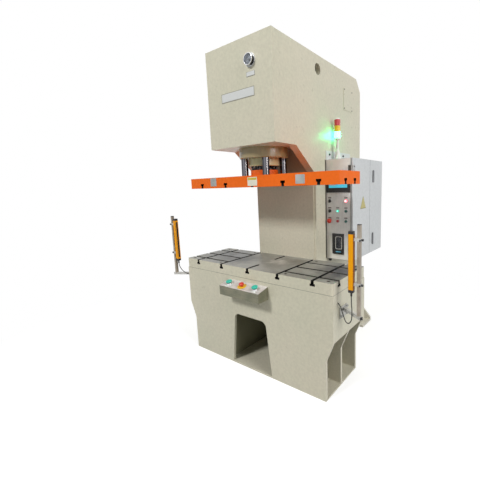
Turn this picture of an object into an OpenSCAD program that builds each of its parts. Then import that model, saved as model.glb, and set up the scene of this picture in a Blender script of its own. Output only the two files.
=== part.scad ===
// C-frame hydraulic press with a T-slotted table, guided ram plate,
// operator cabinet, two-hand console and light curtains.
// Millimetres, +Z up, +X to the right seen from the front, front towards -Y.
// The origin is on the floor under the ram axis.

/* [Table] */
// Width of the work table
table_w = 1400; // [1340:10:1500]
// Depth of the work table
table_d = 475; // [460:5:500]
// Thickness of the table plate
table_t = 78; // [70:1:90]
// Height of the table top above the floor
table_h = 795; // [770:5:850]
// Radius of the table's vertical corners
table_corner_r = 14; // [8:1:24]
// Distance from the front of the machine to the ram axis
ram_setback = 240; // [232:2:250]

/* [T-slots] */
// Width of a T-slot's neck
slot_w = 22; // [16:1:26]
// Depth of a T-slot's neck
slot_neck = 21; // [16:1:26]
// Width of a T-slot's head
slot_head_w = 38; // [32:1:44]
// Height of a T-slot's head
slot_head_h = 16; // [12:1:20]
// Spacing of the slots that run front to back
slot_pitch = 278; // [260:2:290]
// Distance from the table's front edge to the first cross slot
cross_first = 80; // [70:2:90]
// Spacing of the cross slots
cross_pitch = 143; // [130:1:150]
// Length of the front and rear parts of the middle slot
middle_slot_len = 132; // [110:2:150]
// Bore of the tapped holes in the table
tapped_d = 14; // [10:1:18]

/* [Frame] */
// Width over the two side plates
frame_w = 600; // [580:5:620]
// Thickness of the side plates
side_t = 60; // [50:2:66]
// Thickness of the head, base and rear plates
plate_t = 20; // [16:1:24]
// Thickness of the floor plate
floor_t = 12; // [8:1:20]
// Overall height
frame_h = 2320; // [2290:5:2400]
// Height of the head above the throat
head_h = 664; // [632:4:680]
// Distance from the ram axis to the rear of the frame
frame_back = 1066; // [1040:5:1100]
// Height of the chamfer at the rear top edge
rear_chamfer_h = 98; // [80:2:120]
// Depth of the chamfer at the rear top edge
rear_chamfer_d = 90; // [80:2:110]
// Height of the chamfer in the throat
throat_chamfer_h = 194; // [170:2:200]
// Depth of the chamfer in the throat
throat_chamfer_d = 249; // [230:2:250]
// Amount that the throat cover stands proud of the side plates
throat_proud = 8; // [4:1:12]
// Strip of side plate left bare beside the throat cover
throat_strip = 18; // [10:1:30]
// Thickness of the plate that carries the cylinder
seat_t = 60; // [50:2:70]
// Diameter of the lifting holes
lift_d = 80; // [60:2:90]
// Distance of the lifting holes behind the ram axis
lift_y = 296; // [280:4:320]
// Distance of the lifting holes below the top
lift_drop = 97; // [85:1:110]

/* [Base] */
// Height where the side skirts end
skirt_z = 412; // [390:2:430]
// Height where the legs become straight
leg_z = 278; // [260:2:300]
// Half width over the legs
leg_x = 646; // [630:2:670]
// Width of the front window at the floor
window_w = 396; // [360:4:420]
// Width of the front window at its top
window_top_w = 318; // [290:2:330]
// Height of the front window's top above the floor
window_h = 420; // [390:5:450]
// Radius of the window's top corners
window_r = 45; // [30:1:60]
// Distance from the front to the middle web
mid_web_y = 205; // [190:5:220]
// Distance from the front to the rear web
rear_web_y = 435; // [415:5:440]
// Length of a rear foot
foot_len = 196; // [150:2:220]
// Width of a rear foot
foot_w = 130; // [100:2:150]
// Height of a rear foot's gusset
foot_h = 170; // [140:2:200]
// Diameter of the anchor holes
anchor_d = 22; // [16:1:26]

/* [Cylinder and ram] */
// Distance from the head down to the ram plate's underside at rest
ram_drop = 277; // [272:1:296]
// Thickness of the ram plate
ram_t = 82; // [76:1:86]
// Depth of the ram plate
ram_d = 290; // [280:2:310]
// Width of the ram plate
ram_w = 1400; // [1340:10:1420]
// Stroke of the ram
stroke = 300; // [250:10:300]
// Spacing of the cross slots in the ram plate
ram_cross_pitch = 134; // [124:2:144]
// Diameter of the boss on the ram plate
boss_d = 205; // [190:1:210]
// Height of the boss
boss_h = 39; // [34:1:42]
// Diameter of the guide rods
guide_d = 50; // [44:1:52]
// Half spacing of the guide rods
guide_pitch = 102; // [100:1:104]
// Diameter of the guide flange
flange_d = 360; // [352:1:368]
// Thickness of the guide flange
flange_t = 74; // [66:1:80]
// Diameter of the gland under the flange
gland_d = 230; // [216:1:232]
// Height of the gland
gland_h = 54; // [46:1:56]
// Diameter of the piston rod
rod_d = 110; // [100:1:116]
// Bore of the cylinder
bore_d = 160; // [150:1:166]
// Outer diameter of the cylinder barrel
barrel_d = 208; // [196:1:210]
// Height of the piston
piston_h = 80; // [70:1:90]

/* [Console] */
// Width of the two-hand console
console_w = 384; // [360:2:420]
// Depth of the console
console_d = 102; // [96:1:120]
// Height of the console's rear edge
console_h = 93; // [86:1:104]
// Fall of the console's top from rear to front
console_fall = 24; // [18:1:30]
// Distance from the table top down to the console's rear edge
console_drop = 104; // [98:1:110]
// Spacing of the hand buttons
hand_pitch = 256; // [250:2:280]
// Diameter of the hand buttons
hand_d = 46; // [40:1:50]
// Travel of the hand buttons
hand_travel = 6; // [4:0.5:6]

/* [Cabinet] */
// Depth of the cabinet from the frame's side to the door's outer face
cab_x = 233; // [228:1:250]
// Length of the cabinet, front to back
cab_len = 632; // [600:4:660]
// Height of the cabinet
cab_h = 800; // [780:5:830]
// Height of the cabinet's underside
cab_z = 777; // [760:1:800]
// Distance of the cabinet's front behind the ram axis
cab_y = 402; // [380:2:420]
// Thickness of the cabinet's sheet
cab_wall = 3; // [2:0.5:4]
// Thickness of the door
door_t = 12; // [10:1:14]
// Diameter of the panel holes
panel_hole_d = 22.2; // [20:0.2:24]
// Spacing of the panel columns
col_pitch = 71; // [66:1:72]
// Spacing of the panel rows
row_pitch = 80; // [74:1:84]
// Width of the touch screen
screen_w = 204; // [180:2:208]
// Height of the touch screen
screen_h = 147; // [120:1:147]
// Travel of the panel buttons
button_travel = 4; // [3:0.5:5]

/* [Signal tower] */
// Diameter of the tower's lenses
lens_d = 49; // [44:1:54]
// Height of one lens
lens_h = 47; // [40:1:50]
// Height from the cabinet's top to the lowest lens
tower_rise = 172; // [150:2:190]

/* [Gauge] */
// Diameter of the gauge's flange
gauge_d = 86; // [80:1:100]
// Depth of the gauge's case
gauge_depth = 24; // [22:1:30]
// Distance of the gauge from the centre line
gauge_x = 124; // [110:2:140]
// Distance of the gauge below the top of the machine
gauge_drop = 147; // [130:2:180]

/* [Light curtains] */
// Height of a curtain's yellow body
curtain_h = 330; // [300:2:350]
// Width of a curtain's body
curtain_w = 32; // [28:1:36]
// Depth of a curtain's body
curtain_d = 30; // [26:1:34]
// Distance from the centre line to a post
post_x = 840; // [830:2:860]
// Width of a square post
post_w = 20; // [18:1:24]

/* [Power unit] */
// Diameter of the motor
motor_d = 210; // [180:5:220]
// Length of the motor
motor_len = 300; // [260:5:320]
// Height of the oil tank
tank_h = 430; // [380:5:460]

/* [Hidden] */
$fn = 64;

cream = [0.80, 0.78, 0.69];
orange = [0.93, 0.42, 0.12];
steel = [0.62, 0.62, 0.62];
chrome = [0.80, 0.81, 0.83];
dark = [0.12, 0.12, 0.13];
cabinet_grey = [0.78, 0.80, 0.81];

run_gap = 0.05;
seat_gap = 0.3;

head_z = frame_h - head_h;
ram_z = head_z - ram_drop;
gauge_z = frame_h - gauge_drop;
front_y = -ram_setback;
table_back = front_y + table_d;
table_under = table_h - table_t;
side_in = frame_w / 2 - side_t;
side_out = frame_w / 2;
jaw_y = front_y + plate_t;
throat_y = table_back + throat_proud;
throat_low_z = head_z - throat_chamfer_h;
rear_in = frame_back - plate_t;
top_t = 12;

flange_z = head_z - flange_t;
gland_z = flange_z - gland_h;
ram_top = ram_z + ram_t;
boss_top = ram_top + boss_h;
foot_t = 14;
guide_len = head_z - ram_top + stroke + 50;
piston_z = head_z + stroke + 80;
barrel_top = piston_z + piston_h + 20;
cap_t = 30;

// A plate with its outline in the YZ plane, from x0 to x1
module plate_x(x0, x1) {
    translate([x0, 0, 0]) rotate([90, 0, 90]) linear_extrude(x1 - x0) children();
}

// A plate with its outline in the XZ plane, from y0 to y1
module plate_y(y0, y1) {
    translate([0, y1, 0]) rotate([90, 0, 0]) linear_extrude(y1 - y0) children();
}

// A box given by its low and high corners
module span(lo, hi) {
    translate(lo) cube(hi - lo);
}

module both_sides() {
    children();
    mirror([1, 0, 0]) children();
}

module rounded(w, d, r) {
    square([w - 2 * r, d], center = true);
    square([w, d - 2 * r], center = true);
    for (sx = [-1, 1], sy = [-1, 1])
        translate([sx * (w / 2 - r), sy * (d / 2 - r)]) circle(r);
}

// A round bar along -Y, from y0 forward by len
module forward_bar(d, y0, len) {
    translate([0, y0, 0]) rotate([90, 0, 0]) cylinder(d = d, h = len);
}

// Frame

module side_outline() {
    polygon([
        [jaw_y, floor_t], [frame_back, floor_t],
        [frame_back, frame_h - rear_chamfer_h], [frame_back - rear_chamfer_d, frame_h],
        [jaw_y, frame_h], [jaw_y, head_z],
        [throat_y - throat_chamfer_d, head_z], [throat_y, throat_low_z],
        [throat_y, table_under], [jaw_y, table_under]
    ]);
}

module side_plate(x0) {
    difference() {
        plate_x(x0, x0 + side_t) side_outline();
        translate([x0 - 1, lift_y, frame_h - lift_drop]) rotate([0, 90, 0])
            cylinder(d = lift_d, h = side_t + 2);
    }
}

module side_plate_left() {
    color(cream) side_plate(-side_out);
}

module side_plate_right() {
    color(cream) side_plate(side_in);
}

module head_front_plate() {
    color(cream) span([-side_out, front_y, head_z], [side_out, jaw_y, frame_h]);
}

module head_top_plate() {
    slope_y = frame_back - rear_chamfer_d;
    slope_z = frame_h - rear_chamfer_h;
    color(cream) plate_x(-side_in, side_in) polygon([
        [jaw_y, frame_h], [slope_y, frame_h], [frame_back, slope_z],
        [frame_back, slope_z - top_t * 1.4], [slope_y - top_t * 0.5, frame_h - top_t],
        [jaw_y, frame_h - top_t]
    ]);
}

module cylinder_seat_plate() {
    color(cream) difference() {
        span([-side_in, jaw_y, head_z], [side_in, table_back, head_z + seat_t]);
        translate([0, 0, head_z - 1]) cylinder(d = barrel_d + 2 * seat_gap, h = seat_t + 2);
        for (sx = [-1, 1], sy = [-1, 1])
            translate([sx * guide_pitch, sy * guide_pitch, head_z - 1])
                cylinder(d = guide_d + 4, h = seat_t + 2);
    }
}

module throat_plate() {
    cover_x = side_out - throat_strip;
    color(cream) {
        span([-cover_x, table_back, table_under], [cover_x, throat_y, throat_low_z]);
        span([-side_in, table_back, table_under],
             [side_in, table_back + plate_t, head_z + seat_t]);
    }
}

vent_w = 380;
vent_z = 160;
vent_top = 1060;
cover_lap = 25;

module rear_plate() {
    color(cream) difference() {
        span([-side_in, rear_in, floor_t],
             [side_in, frame_back, frame_h - rear_chamfer_h - top_t * 1.4]);
        span([-vent_w / 2, rear_in - 1, vent_z], [vent_w / 2, frame_back + 1, vent_top]);
    }
}

// Screwed sheet cover with louvre slots over the rear opening
module rear_cover() {
    cover_t = 3;
    slots = 9;
    slot_step = (vent_top - vent_z) / (slots + 1);
    color(cream) difference() {
        span([-vent_w / 2 - cover_lap, frame_back, vent_z - cover_lap],
             [vent_w / 2 + cover_lap, frame_back + cover_t, vent_top + cover_lap]);
        for (i = [1:slots])
            span([-vent_w * 0.36, frame_back - 1, vent_z + i * slot_step - 6],
                 [vent_w * 0.36, frame_back + cover_t + 1, vent_z + i * slot_step + 6]);
    }
    color(steel) for (sx = [-1, 1], z = [vent_z, (vent_z + vent_top) / 2, vent_top])
        translate([sx * (vent_w + cover_lap) / 2, frame_back + cover_t, z])
            rotate([-90, 0, 0]) cylinder(d = 12, h = 4);
}

// Base

module base_outline() {
    polygon([
        [-table_w / 2, table_under], [-table_w / 2, skirt_z], [-leg_x, leg_z],
        [-leg_x, floor_t], [leg_x, floor_t], [leg_x, leg_z],
        [table_w / 2, skirt_z], [table_w / 2, table_under]
    ]);
}

module window_outline() {
    shoulder = window_h - window_r;
    polygon([
        [-window_w / 2, floor_t - 1], [window_w / 2, floor_t - 1],
        [window_top_w / 2, shoulder], [-window_top_w / 2, shoulder]
    ]);
    translate([-window_top_w / 2 + window_r, shoulder - 1])
        square([window_top_w - 2 * window_r, window_r + 1]);
    for (sx = [-1, 1])
        translate([sx * (window_top_w / 2 - window_r), shoulder]) circle(window_r);
}

module base_front_plate() {
    color(cream) plate_y(front_y, jaw_y) difference() {
        base_outline();
        window_outline();
    }
}

module skirt(x0) {
    span([x0, jaw_y, skirt_z], [x0 + plate_t, table_back, table_under]);
}

module side_skirts() {
    color(cream) both_sides() skirt(table_w / 2 - plate_t);
}

// Two cross webs beside the side plates, with a lintel between the plates
module base_webs() {
    color(cream) for (y = [mid_web_y, rear_web_y]) difference() {
        plate_y(front_y + y, front_y + y + plate_t) difference() {
            base_outline();
            window_outline();
        }
        span([-side_in - 1, front_y, 0], [side_in + 1, table_back, window_h]);
        both_sides() {
            span([side_in, front_y, 0], [side_out, table_back, table_h]);
            skirt(table_w / 2 - plate_t);
            translate([plate_t, 0, 0]) skirt(table_w / 2 - plate_t);
        }
    }
}

module floor_plate() {
    web_back = front_y + rear_web_y + plate_t;
    color(cream) {
        span([-leg_x, front_y, 0], [leg_x, web_back, floor_t]);
        span([-side_out, web_back - 1, 0], [side_out, frame_back, floor_t]);
        both_sides() rear_foot();
    }
}

foot_hole = [side_out + foot_w * 0.6, frame_back - foot_len * 0.62];

// Foot plate welded to the floor plate, with its gusset and anchor hole
module rear_foot() {
    gusset_low = 40;
    difference() {
        union() {
            span([side_out, frame_back - foot_len, 0], [side_out + foot_w, frame_back, plate_t]);
            span([side_out - 1, frame_back - foot_len, 0], [side_out + 1, frame_back, floor_t]);
            plate_y(frame_back - plate_t, frame_back) polygon([
                [side_out, 0], [side_out + foot_w, 0], [side_out + foot_w, gusset_low],
                [side_out, gusset_low + foot_h * 0.9]
            ]);
        }
        translate([foot_hole[0], foot_hole[1], -1]) cylinder(d = anchor_d, h = plate_t + 2);
        translate([side_out + foot_w * 0.4, frame_back + 1, gusset_low + foot_h * 0.2])
            rotate([90, 0, 0]) cylinder(d = 18, h = plate_t + 2);
    }
}

// T-slot cutter along Y, opening upwards at z = 0
module slot_y(y0, y1, w = slot_w) {
    span([-w / 2, y0, -slot_neck - 1], [w / 2, y1, 1]);
    span([-slot_head_w / 2, y0, -slot_neck - slot_head_h], [slot_head_w / 2, y1, -slot_neck]);
}

module slot_x(x0, x1, y) {
    translate([0, y, 0]) rotate([0, 0, -90]) slot_y(x0, x1);
}

tapped_x = [slot_pitch + 44, table_w / 2 - 50];
tapped_y = [front_y + 38, table_back - 38];

module work_table() {
    relief = 3;
    centre_y = front_y + table_d / 2;
    color(steel) difference() {
        union() {
            translate([0, centre_y, table_under + relief]) linear_extrude(table_t - relief)
                rounded(table_w, table_d, table_corner_r);
            translate([0, centre_y, table_under]) linear_extrude(relief + 1)
                rounded(table_w - 2 * relief, table_d - 2 * relief, table_corner_r);
        }
        translate([0, 0, table_h]) {
            for (i = [-2, -1, 1, 2])
                translate([i * slot_pitch, 0, 0]) slot_y(front_y - 1, table_back + 1);
            slot_y(front_y - 1, front_y + middle_slot_len);
            slot_y(table_back - middle_slot_len - 20, table_back - 20);
            for (j = [0:2]) {
                y = front_y + cross_first + j * cross_pitch;
                slot_x(-table_w / 2 - 1, -slot_pitch, y);
                slot_x(slot_pitch, table_w / 2 + 1, y);
            }
        }
        for (sx = [-1, 1], x = tapped_x, y = tapped_y)
            translate([sx * x, y, table_h - 40]) cylinder(d = tapped_d, h = 41);
    }
}

module access_cover() {
    cover_y = 718;
    cover_len = 172;
    cover_h = 178;
    cover_drop = 128;
    cover_z = frame_h - cover_drop - cover_h;
    centre = [side_out, cover_y + cover_len / 2, cover_z + cover_h / 2];
    color(cream) translate(centre) rotate([90, 0, 90]) linear_extrude(3)
        rounded(cover_len, cover_h, 8);
    color(dark) for (sy = [-1, 1], sz = [-1, 1])
        translate(centre + [3, sy * (cover_len / 2 - 12), sz * (cover_h / 2 - 12)])
            rotate([0, 90, 0]) cylinder(d = 9, h = 3);
}

// Cylinder and ram

module at_guides() {
    for (sx = [-1, 1], sy = [-1, 1])
        translate([sx * guide_pitch, sy * guide_pitch, 0]) children();
}

bush_wall = 6;

module cylinder_barrel() {
    color(cream) translate([0, 0, head_z]) difference() {
        cylinder(d = barrel_d, h = barrel_top - head_z + cap_t);
        translate([0, 0, -1]) cylinder(d = bore_d, h = barrel_top - head_z + 1);
    }
}

module guide_flange() {
    chamfer = 4;
    color(cream) difference() {
        rotate_extrude() polygon([
            [0, gland_z], [gland_d / 2 - chamfer, gland_z], [gland_d / 2, gland_z + chamfer],
            [gland_d / 2, flange_z], [flange_d / 2 - chamfer, flange_z],
            [flange_d / 2, flange_z + chamfer], [flange_d / 2, head_z], [0, head_z]
        ]);
        translate([0, 0, gland_z - 1]) cylinder(d = rod_d + 2 * run_gap, h = flange_t + gland_h + 2);
        at_guides() translate([0, 0, flange_z - 1])
            cylinder(d = guide_d + 2 * bush_wall, h = flange_t + 2);
    }
}

module guide_bushes() {
    color([0.72, 0.55, 0.25]) at_guides() translate([0, 0, flange_z]) difference() {
        cylinder(d = guide_d + 2 * bush_wall, h = flange_t);
        translate([0, 0, -1]) cylinder(d = guide_d + 2 * run_gap, h = flange_t + 2);
    }
}

// Piston with its rod and the rod's foot flange on the boss
module piston() {
    groove = 4;
    color(chrome) translate([0, 0, boss_top]) {
        cylinder(d = rod_d, h = piston_z - boss_top + 1);
        cylinder(d = rod_d + 44, h = foot_t);
    }
    color(steel) translate([0, 0, piston_z]) difference() {
        cylinder(d = bore_d - 2 * run_gap, h = piston_h);
        for (z = [piston_h * 0.25, piston_h * 0.65]) translate([0, 0, z]) difference() {
            cylinder(d = bore_d + 2, h = 8);
            translate([0, 0, -1]) cylinder(d = bore_d - 2 * groove, h = 10);
        }
    }
}

module guide_rods() {
    color(chrome) at_guides() translate([0, 0, ram_top]) {
        cylinder(d = guide_d, h = guide_len);
        translate([0, 0, guide_len]) cylinder(d1 = guide_d, d2 = guide_d - 6, h = 3);
    }
}

module ram_plate() {
    color(orange) difference() {
        span([-ram_w / 2, -ram_d / 2, ram_z], [ram_w / 2, ram_d / 2, ram_top]);
        translate([0, 0, ram_z]) mirror([0, 0, 1]) {
            for (i = [-2:2]) translate([i * slot_pitch, 0, 0]) slot_y(-ram_d / 2 - 1, ram_d / 2 + 1);
            for (sy = [-1, 1]) {
                slot_x(-ram_w / 2 - 1, -slot_pitch, sy * ram_cross_pitch / 2);
                slot_x(slot_pitch, ram_w / 2 + 1, sy * ram_cross_pitch / 2);
            }
        }
    }
}

module ram_boss() {
    color(orange) translate([0, 0, ram_top]) cylinder(d = boss_d, h = boss_h);
}

// Power unit in the column

unit_y = 600;
motor_z = floor_t + tank_h + motor_d / 2 + 20;
coupling_len = 90;
pump_len = 150;
pump_d = 120;
motor_y = unit_y + coupling_len / 2;
pump_y = unit_y - coupling_len / 2;
tank_front = 260;
tank_rear = 400;
tank_y0 = unit_y - tank_front;
tank_y1 = unit_y + tank_rear;
tank_x = side_in - 30;

module oil_tank() {
    wall = 5;
    lid = 10;
    color([0.35, 0.38, 0.42]) {
        difference() {
            span([-tank_x, tank_y0, floor_t], [tank_x, tank_y1, floor_t + tank_h - lid]);
            span([-tank_x + wall, tank_y0 + wall, floor_t + wall],
                 [tank_x - wall, tank_y1 - wall, floor_t + tank_h - lid + 1]);
        }
        span([-tank_x - 10, tank_y0 - 10, floor_t + tank_h - lid],
             [tank_x + 10, tank_y1 + 10, floor_t + tank_h]);
    }
}

// Motor with cooling fins and its feet on the tank
module electric_motor() {
    fins = 24;
    body_d = motor_d - 24;
    color([0.25, 0.32, 0.42]) {
        translate([0, motor_y, motor_z]) rotate([-90, 0, 0]) {
            cylinder(d = body_d, h = motor_len);
            for (i = [0:fins - 1]) rotate([0, 0, i * 360 / fins])
                translate([body_d / 2 - 2, -2, motor_len * 0.12])
                    cube([12, 4, motor_len * 0.68]);
            translate([0, 0, motor_len * 0.86]) cylinder(d = motor_d, h = motor_len * 0.14);
        }
        for (y = [0.2, 0.7])
            span([-motor_d * 0.4, motor_y + motor_len * y, floor_t + tank_h],
                 [motor_d * 0.4, motor_y + motor_len * y + 40, motor_z - body_d * 0.3]);
    }
}

shaft_d = 28;

// Coupling with the motor's and the pump's shaft ends, turning together
module pump_coupling() {
    gap = 0.5;
    color(steel) translate([0, pump_y + gap, motor_z]) rotate([-90, 0, 0]) {
        cylinder(d = shaft_d, h = coupling_len - 2 * gap);
        translate([0, 0, coupling_len * 0.2]) difference() {
            cylinder(d = 76, h = coupling_len * 0.6);
            for (i = [0:5]) rotate([0, 0, i * 60]) translate([30, -4, coupling_len * 0.22])
                cube([12, 8, coupling_len * 0.16]);
        }
    }
}

module hydraulic_pump() {
    color([0.30, 0.30, 0.32]) {
        translate([0, pump_y, motor_z]) rotate([90, 0, 0]) {
            cylinder(d = pump_d, h = pump_len);
            cylinder(d = pump_d + 36, h = 18);
        }
        span([-40, pump_y - pump_len * 0.8, floor_t + tank_h], [40, pump_y - 20, motor_z - pump_d * 0.4]);
    }
}

block_x = 120;
block_y = tank_y0 + 30;

module valve_block() {
    block = [100, 110, 120];
    color(steel) translate([-block_x - 50, block_y, floor_t + tank_h]) {
        cube(block);
        for (z = [30, 80]) translate([20, -46, z]) cube([60, 46, 36]);
        translate([50, 55, 120]) cylinder(d = 34, h = 26);
    }
}

pipe_d = 28;
pipe_z0 = floor_t + tank_h + 146;
elbow_d = pipe_d + 8;
pipe_z1 = frame_h - top_t - elbow_d / 2 - 4;

// Steel pipe from the valve block to the port on top of the cylinder
module pressure_pipe() {
    pipe_y = block_y + 55;
    port_z = barrel_top + cap_t;
    color(steel) {
        translate([-block_x, pipe_y, pipe_z0]) cylinder(d = pipe_d, h = pipe_z1 - pipe_z0);
        translate([-block_x, pipe_y, pipe_z1]) sphere(d = elbow_d);
        span([-block_x, pipe_y - pipe_d / 2, pipe_z1 - pipe_d / 2],
             [0, pipe_y + pipe_d / 2, pipe_z1 + pipe_d / 2]);
        translate([0, pipe_y, pipe_z1]) rotate([90, 0, 0]) cylinder(d = pipe_d, h = pipe_y);
        translate([0, pipe_y, pipe_z1]) sphere(d = elbow_d);
        translate([0, 0, pipe_z1]) sphere(d = elbow_d);
        translate([0, 0, port_z]) cylinder(d = pipe_d, h = pipe_z1 - port_z);
        translate([0, 0, port_z]) cylinder(d = 56, h = 16, $fn = 6);
    }
}

// Pressure gauge

dial_t = 6;
glass_t = 3;

module at_gauge() {
    translate([gauge_x, front_y, gauge_z]) rotate([90, 0, 0]) children();
}

module gauge_case() {
    body_d = gauge_d - 14;
    color(chrome) at_gauge() {
        difference() {
            union() {
                cylinder(d = gauge_d, h = 4);
                cylinder(d = body_d, h = gauge_depth);
            }
            translate([0, 0, dial_t]) cylinder(d = body_d - 8, h = gauge_depth);
        }
        cylinder(d = 4, h = gauge_depth - glass_t - 4);
    }
}

module gauge_needle() {
    reach = gauge_d * 0.33;
    color(dark) at_gauge() translate([0, 0, dial_t + 5]) rotate([0, 0, 225]) difference() {
        union() {
            cylinder(d = 10, h = 3);
            linear_extrude(1.5) polygon([[-10, -2.5], [reach, -0.8], [reach, 0.8], [-10, 2.5]]);
        }
        translate([0, 0, -1]) cylinder(d = 4 + 2 * run_gap, h = 5);
    }
}

module gauge_glass() {
    color([0.8, 0.9, 0.95, 0.4]) at_gauge() translate([0, 0, gauge_depth - glass_t - 2])
        cylinder(d = gauge_d - 22 - 2 * seat_gap, h = glass_t);
}

// Cabinet

cab_x0 = side_out;
cab_x1 = side_out + cab_x;
cab_mouth = cab_x1 - door_t;
cab_y1 = cab_y + cab_len;
cab_top = cab_z + cab_h;
panel_t = 4;
panel_y = cab_y - panel_t;
col_x = [for (i = [0:2]) cab_x0 + 36 + i * col_pitch];
row_z = [for (j = [0:2]) cab_z + 474 - j * row_pitch];
screen_z = cab_z + 541;
mount_flange_h = 72;

socket_w = 98;
socket_h = 166;
socket_x = cab_x0 + 110;
socket_z = cab_z + 130;

module cabinet_box() {
    color(cabinet_grey) difference() {
        union() {
            span([cab_x0, cab_y, cab_z], [cab_mouth, cab_y1, cab_top]);
            span([cab_x0, cab_y, cab_top - 1], [cab_x0 + cab_wall, cab_y + 442, cab_top + mount_flange_h]);
        }
        span([cab_x0 + cab_wall, cab_y + cab_wall, cab_z + cab_wall],
             [cab_mouth + 1, cab_y1 - cab_wall, cab_top - cab_wall]);
        span([col_x[0] - 22, cab_y - 1, row_z[2] - 30],
             [col_x[2] + 22, cab_y + cab_wall + 1, screen_z - 12]);
        span([socket_x - socket_w / 2 + 5, cab_y - 1, socket_z - socket_h / 2 + 5],
             [socket_x + socket_w / 2 - 5, cab_y + cab_wall + 1, socket_z + socket_h / 2 - 5]);
    }
}

hinge_x = cab_x1 + 6;
hinge_y = cab_y - 6;
hinge_z = [cab_z + 90, cab_top - 84];
hinge_h = 54;
knuckle_d = 11;
pin_d = 6;

module cabinet_door() {
    skin = 3;
    hole_z = [lock_z[0] + lock_pivot, lock_z[1] + lock_pivot];
    color(cabinet_grey) difference() {
        span([cab_mouth + seat_gap, cab_y, cab_z], [cab_x1, cab_y1, cab_top]);
        span([cab_mouth, cab_y + skin, cab_z + skin], [cab_x1 - skin, cab_y1 - skin, cab_top - skin]);
        for (z = hole_z) translate([cab_mouth, lock_y, z]) rotate([0, 90, 0])
            cylinder(d = lock_shaft_d + 2 * run_gap, h = door_t + 1);
    }
}

// Fixed half of the door hinges: leaf on the front, lower knuckle and pin
module door_hinges() {
    color(chrome) for (z = hinge_z) translate([hinge_x, hinge_y, z - hinge_h / 2]) {
        cylinder(d = knuckle_d, h = hinge_h / 2 - 0.5);
        cylinder(d = pin_d, h = hinge_h - 2);
        span([-38, panel_y - hinge_y - 2, 0], [-9, panel_y - hinge_y, hinge_h]);
        span([-10, panel_y - hinge_y - 2, 0], [0, panel_y - hinge_y, hinge_h / 2 - 0.5]);
    }
}

// Moving half of the door hinges: leaf on the door and upper knuckle
module hinge_leaves() {
    leaf_x = cab_x1 - hinge_x;
    color(chrome) for (z = hinge_z) translate([hinge_x, hinge_y, z]) difference() {
        union() {
            translate([0, 0, 0.5]) cylinder(d = knuckle_d, h = hinge_h / 2 - 0.5);
            span([leaf_x, 8, -hinge_h / 2], [leaf_x + 2, 40, hinge_h / 2]);
            span([leaf_x, 0, 0.5], [leaf_x + 2, 9, hinge_h / 2]);
            span([leaf_x, -1, 0.5], [0, 3, hinge_h / 2]);
        }
        translate([0, 0, -hinge_h / 2]) cylinder(d = pin_d + 2 * run_gap, h = hinge_h + 1);
    }
}

lock_y = cab_y1 - 220;
lock_z = [cab_z + 121, cab_z + 664];
lock_h = 104;
lock_w = 26;
lock_pivot = 34;
lock_shaft_d = 12;

// Swing handle that turns a cam behind the door's rim
module lock(z) {
    color(dark) translate([cab_x1, lock_y, z + lock_pivot]) {
        rotate([90, 0, 90]) translate([0, -lock_pivot, seat_gap]) linear_extrude(9)
            rounded(lock_w, lock_h, lock_w / 2 - 1);
        translate([-10, 0, 0]) rotate([0, 90, 0]) cylinder(d = lock_shaft_d, h = 11);
    }
}

module lock_upper() {
    lock(lock_z[1]);
}

module lock_lower() {
    lock(lock_z[0]);
}

// Mounting plate with rails, controller, contactors, breakers and a transformer
module device_plate() {
    stud_len = 12;
    front_gap = 46;
    rear_gap = 40;
    edge = 40;
    stud_edge = 60;
    x0 = cab_x0 + cab_wall + stud_len;
    y0 = cab_y + front_gap;
    y1 = cab_y1 - rear_gap;
    color([0.75, 0.75, 0.72]) {
        span([x0, y0, cab_z + edge], [x0 + 3, y1, cab_top - edge]);
        for (y = [y0 + 20, y1 - 20], z = [cab_z + stud_edge, cab_top - stud_edge])
            translate([cab_x0 + cab_wall, y, z]) rotate([0, 90, 0])
                cylinder(d = 12, h = stud_len + 1);
        for (z = [150, 350, 550]) span([x0 + 3, y0 + 20, cab_z + z], [x0 + 11, y1 - 20, cab_z + z + 35]);
    }
    color(dark) for (i = [0:4])
        span([x0 + 3, y0 + 40 + i * 92, cab_z + 340], [x0 + 80, y0 + 110 + i * 92, cab_z + 420]);
    color([0.85, 0.85, 0.83]) {
        span([x0 + 3, y0 + 40, cab_z + 520], [x0 + 90, y0 + 250, cab_z + 620]);
        for (i = [0:3])
            span([x0 + 3, y0 + 290 + i * 50, cab_z + 530], [x0 + 78, y0 + 330 + i * 50, cab_z + 615]);
        span([x0 + 3, y0 + 60, cab_z + 90], [x0 + 100, y0 + 200, cab_z + 200]);
    }
}

// Operator panel

// Front sheet with the bezels of the 22 mm devices
module operator_panel() {
    edge = 3;
    color([0.72, 0.72, 0.72]) difference() {
        span([cab_x0 + edge, panel_y, cab_z + edge], [cab_mouth - 1, cab_y, cab_top - edge]);
        for (i = [0:2], j = [0:2]) if (!(i == 1 && j == 0))
            translate([col_x[i], 0, row_z[j]]) forward_bar(panel_hole_d, cab_y + 1, panel_t + 2);
        span([socket_x - socket_w / 2 + 5, panel_y - 1, socket_z - socket_h / 2 + 5],
             [socket_x + socket_w / 2 - 5, cab_y + 1, socket_z + socket_h / 2 - 5]);
    }
    color(chrome) for (i = [0:2], j = [0:2]) if (!(i == 1 && j == 0)) at_panel(i, j) difference() {
        cylinder(d = bezel_d, h = bezel_t);
        translate([0, 0, -1]) cylinder(d = panel_hole_d + 1, h = bezel_t + 2);
    }
}

module touch_screen() {
    depth = 7;
    frame = 22;
    screen_x = cab_x0 + 9;
    color(dark) difference() {
        span([screen_x, panel_y - depth, screen_z], [screen_x + screen_w, panel_y, screen_z + screen_h]);
        span([screen_x + frame, panel_y - depth - 1, screen_z + frame + 8],
             [screen_x + screen_w - frame, panel_y - depth + 2, screen_z + screen_h - frame]);
    }
}

bezel_d = 29;
bezel_t = 3;

module at_panel(i, j) {
    translate([col_x[i], panel_y, row_z[j]]) rotate([90, 0, 0]) children();
}

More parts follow.
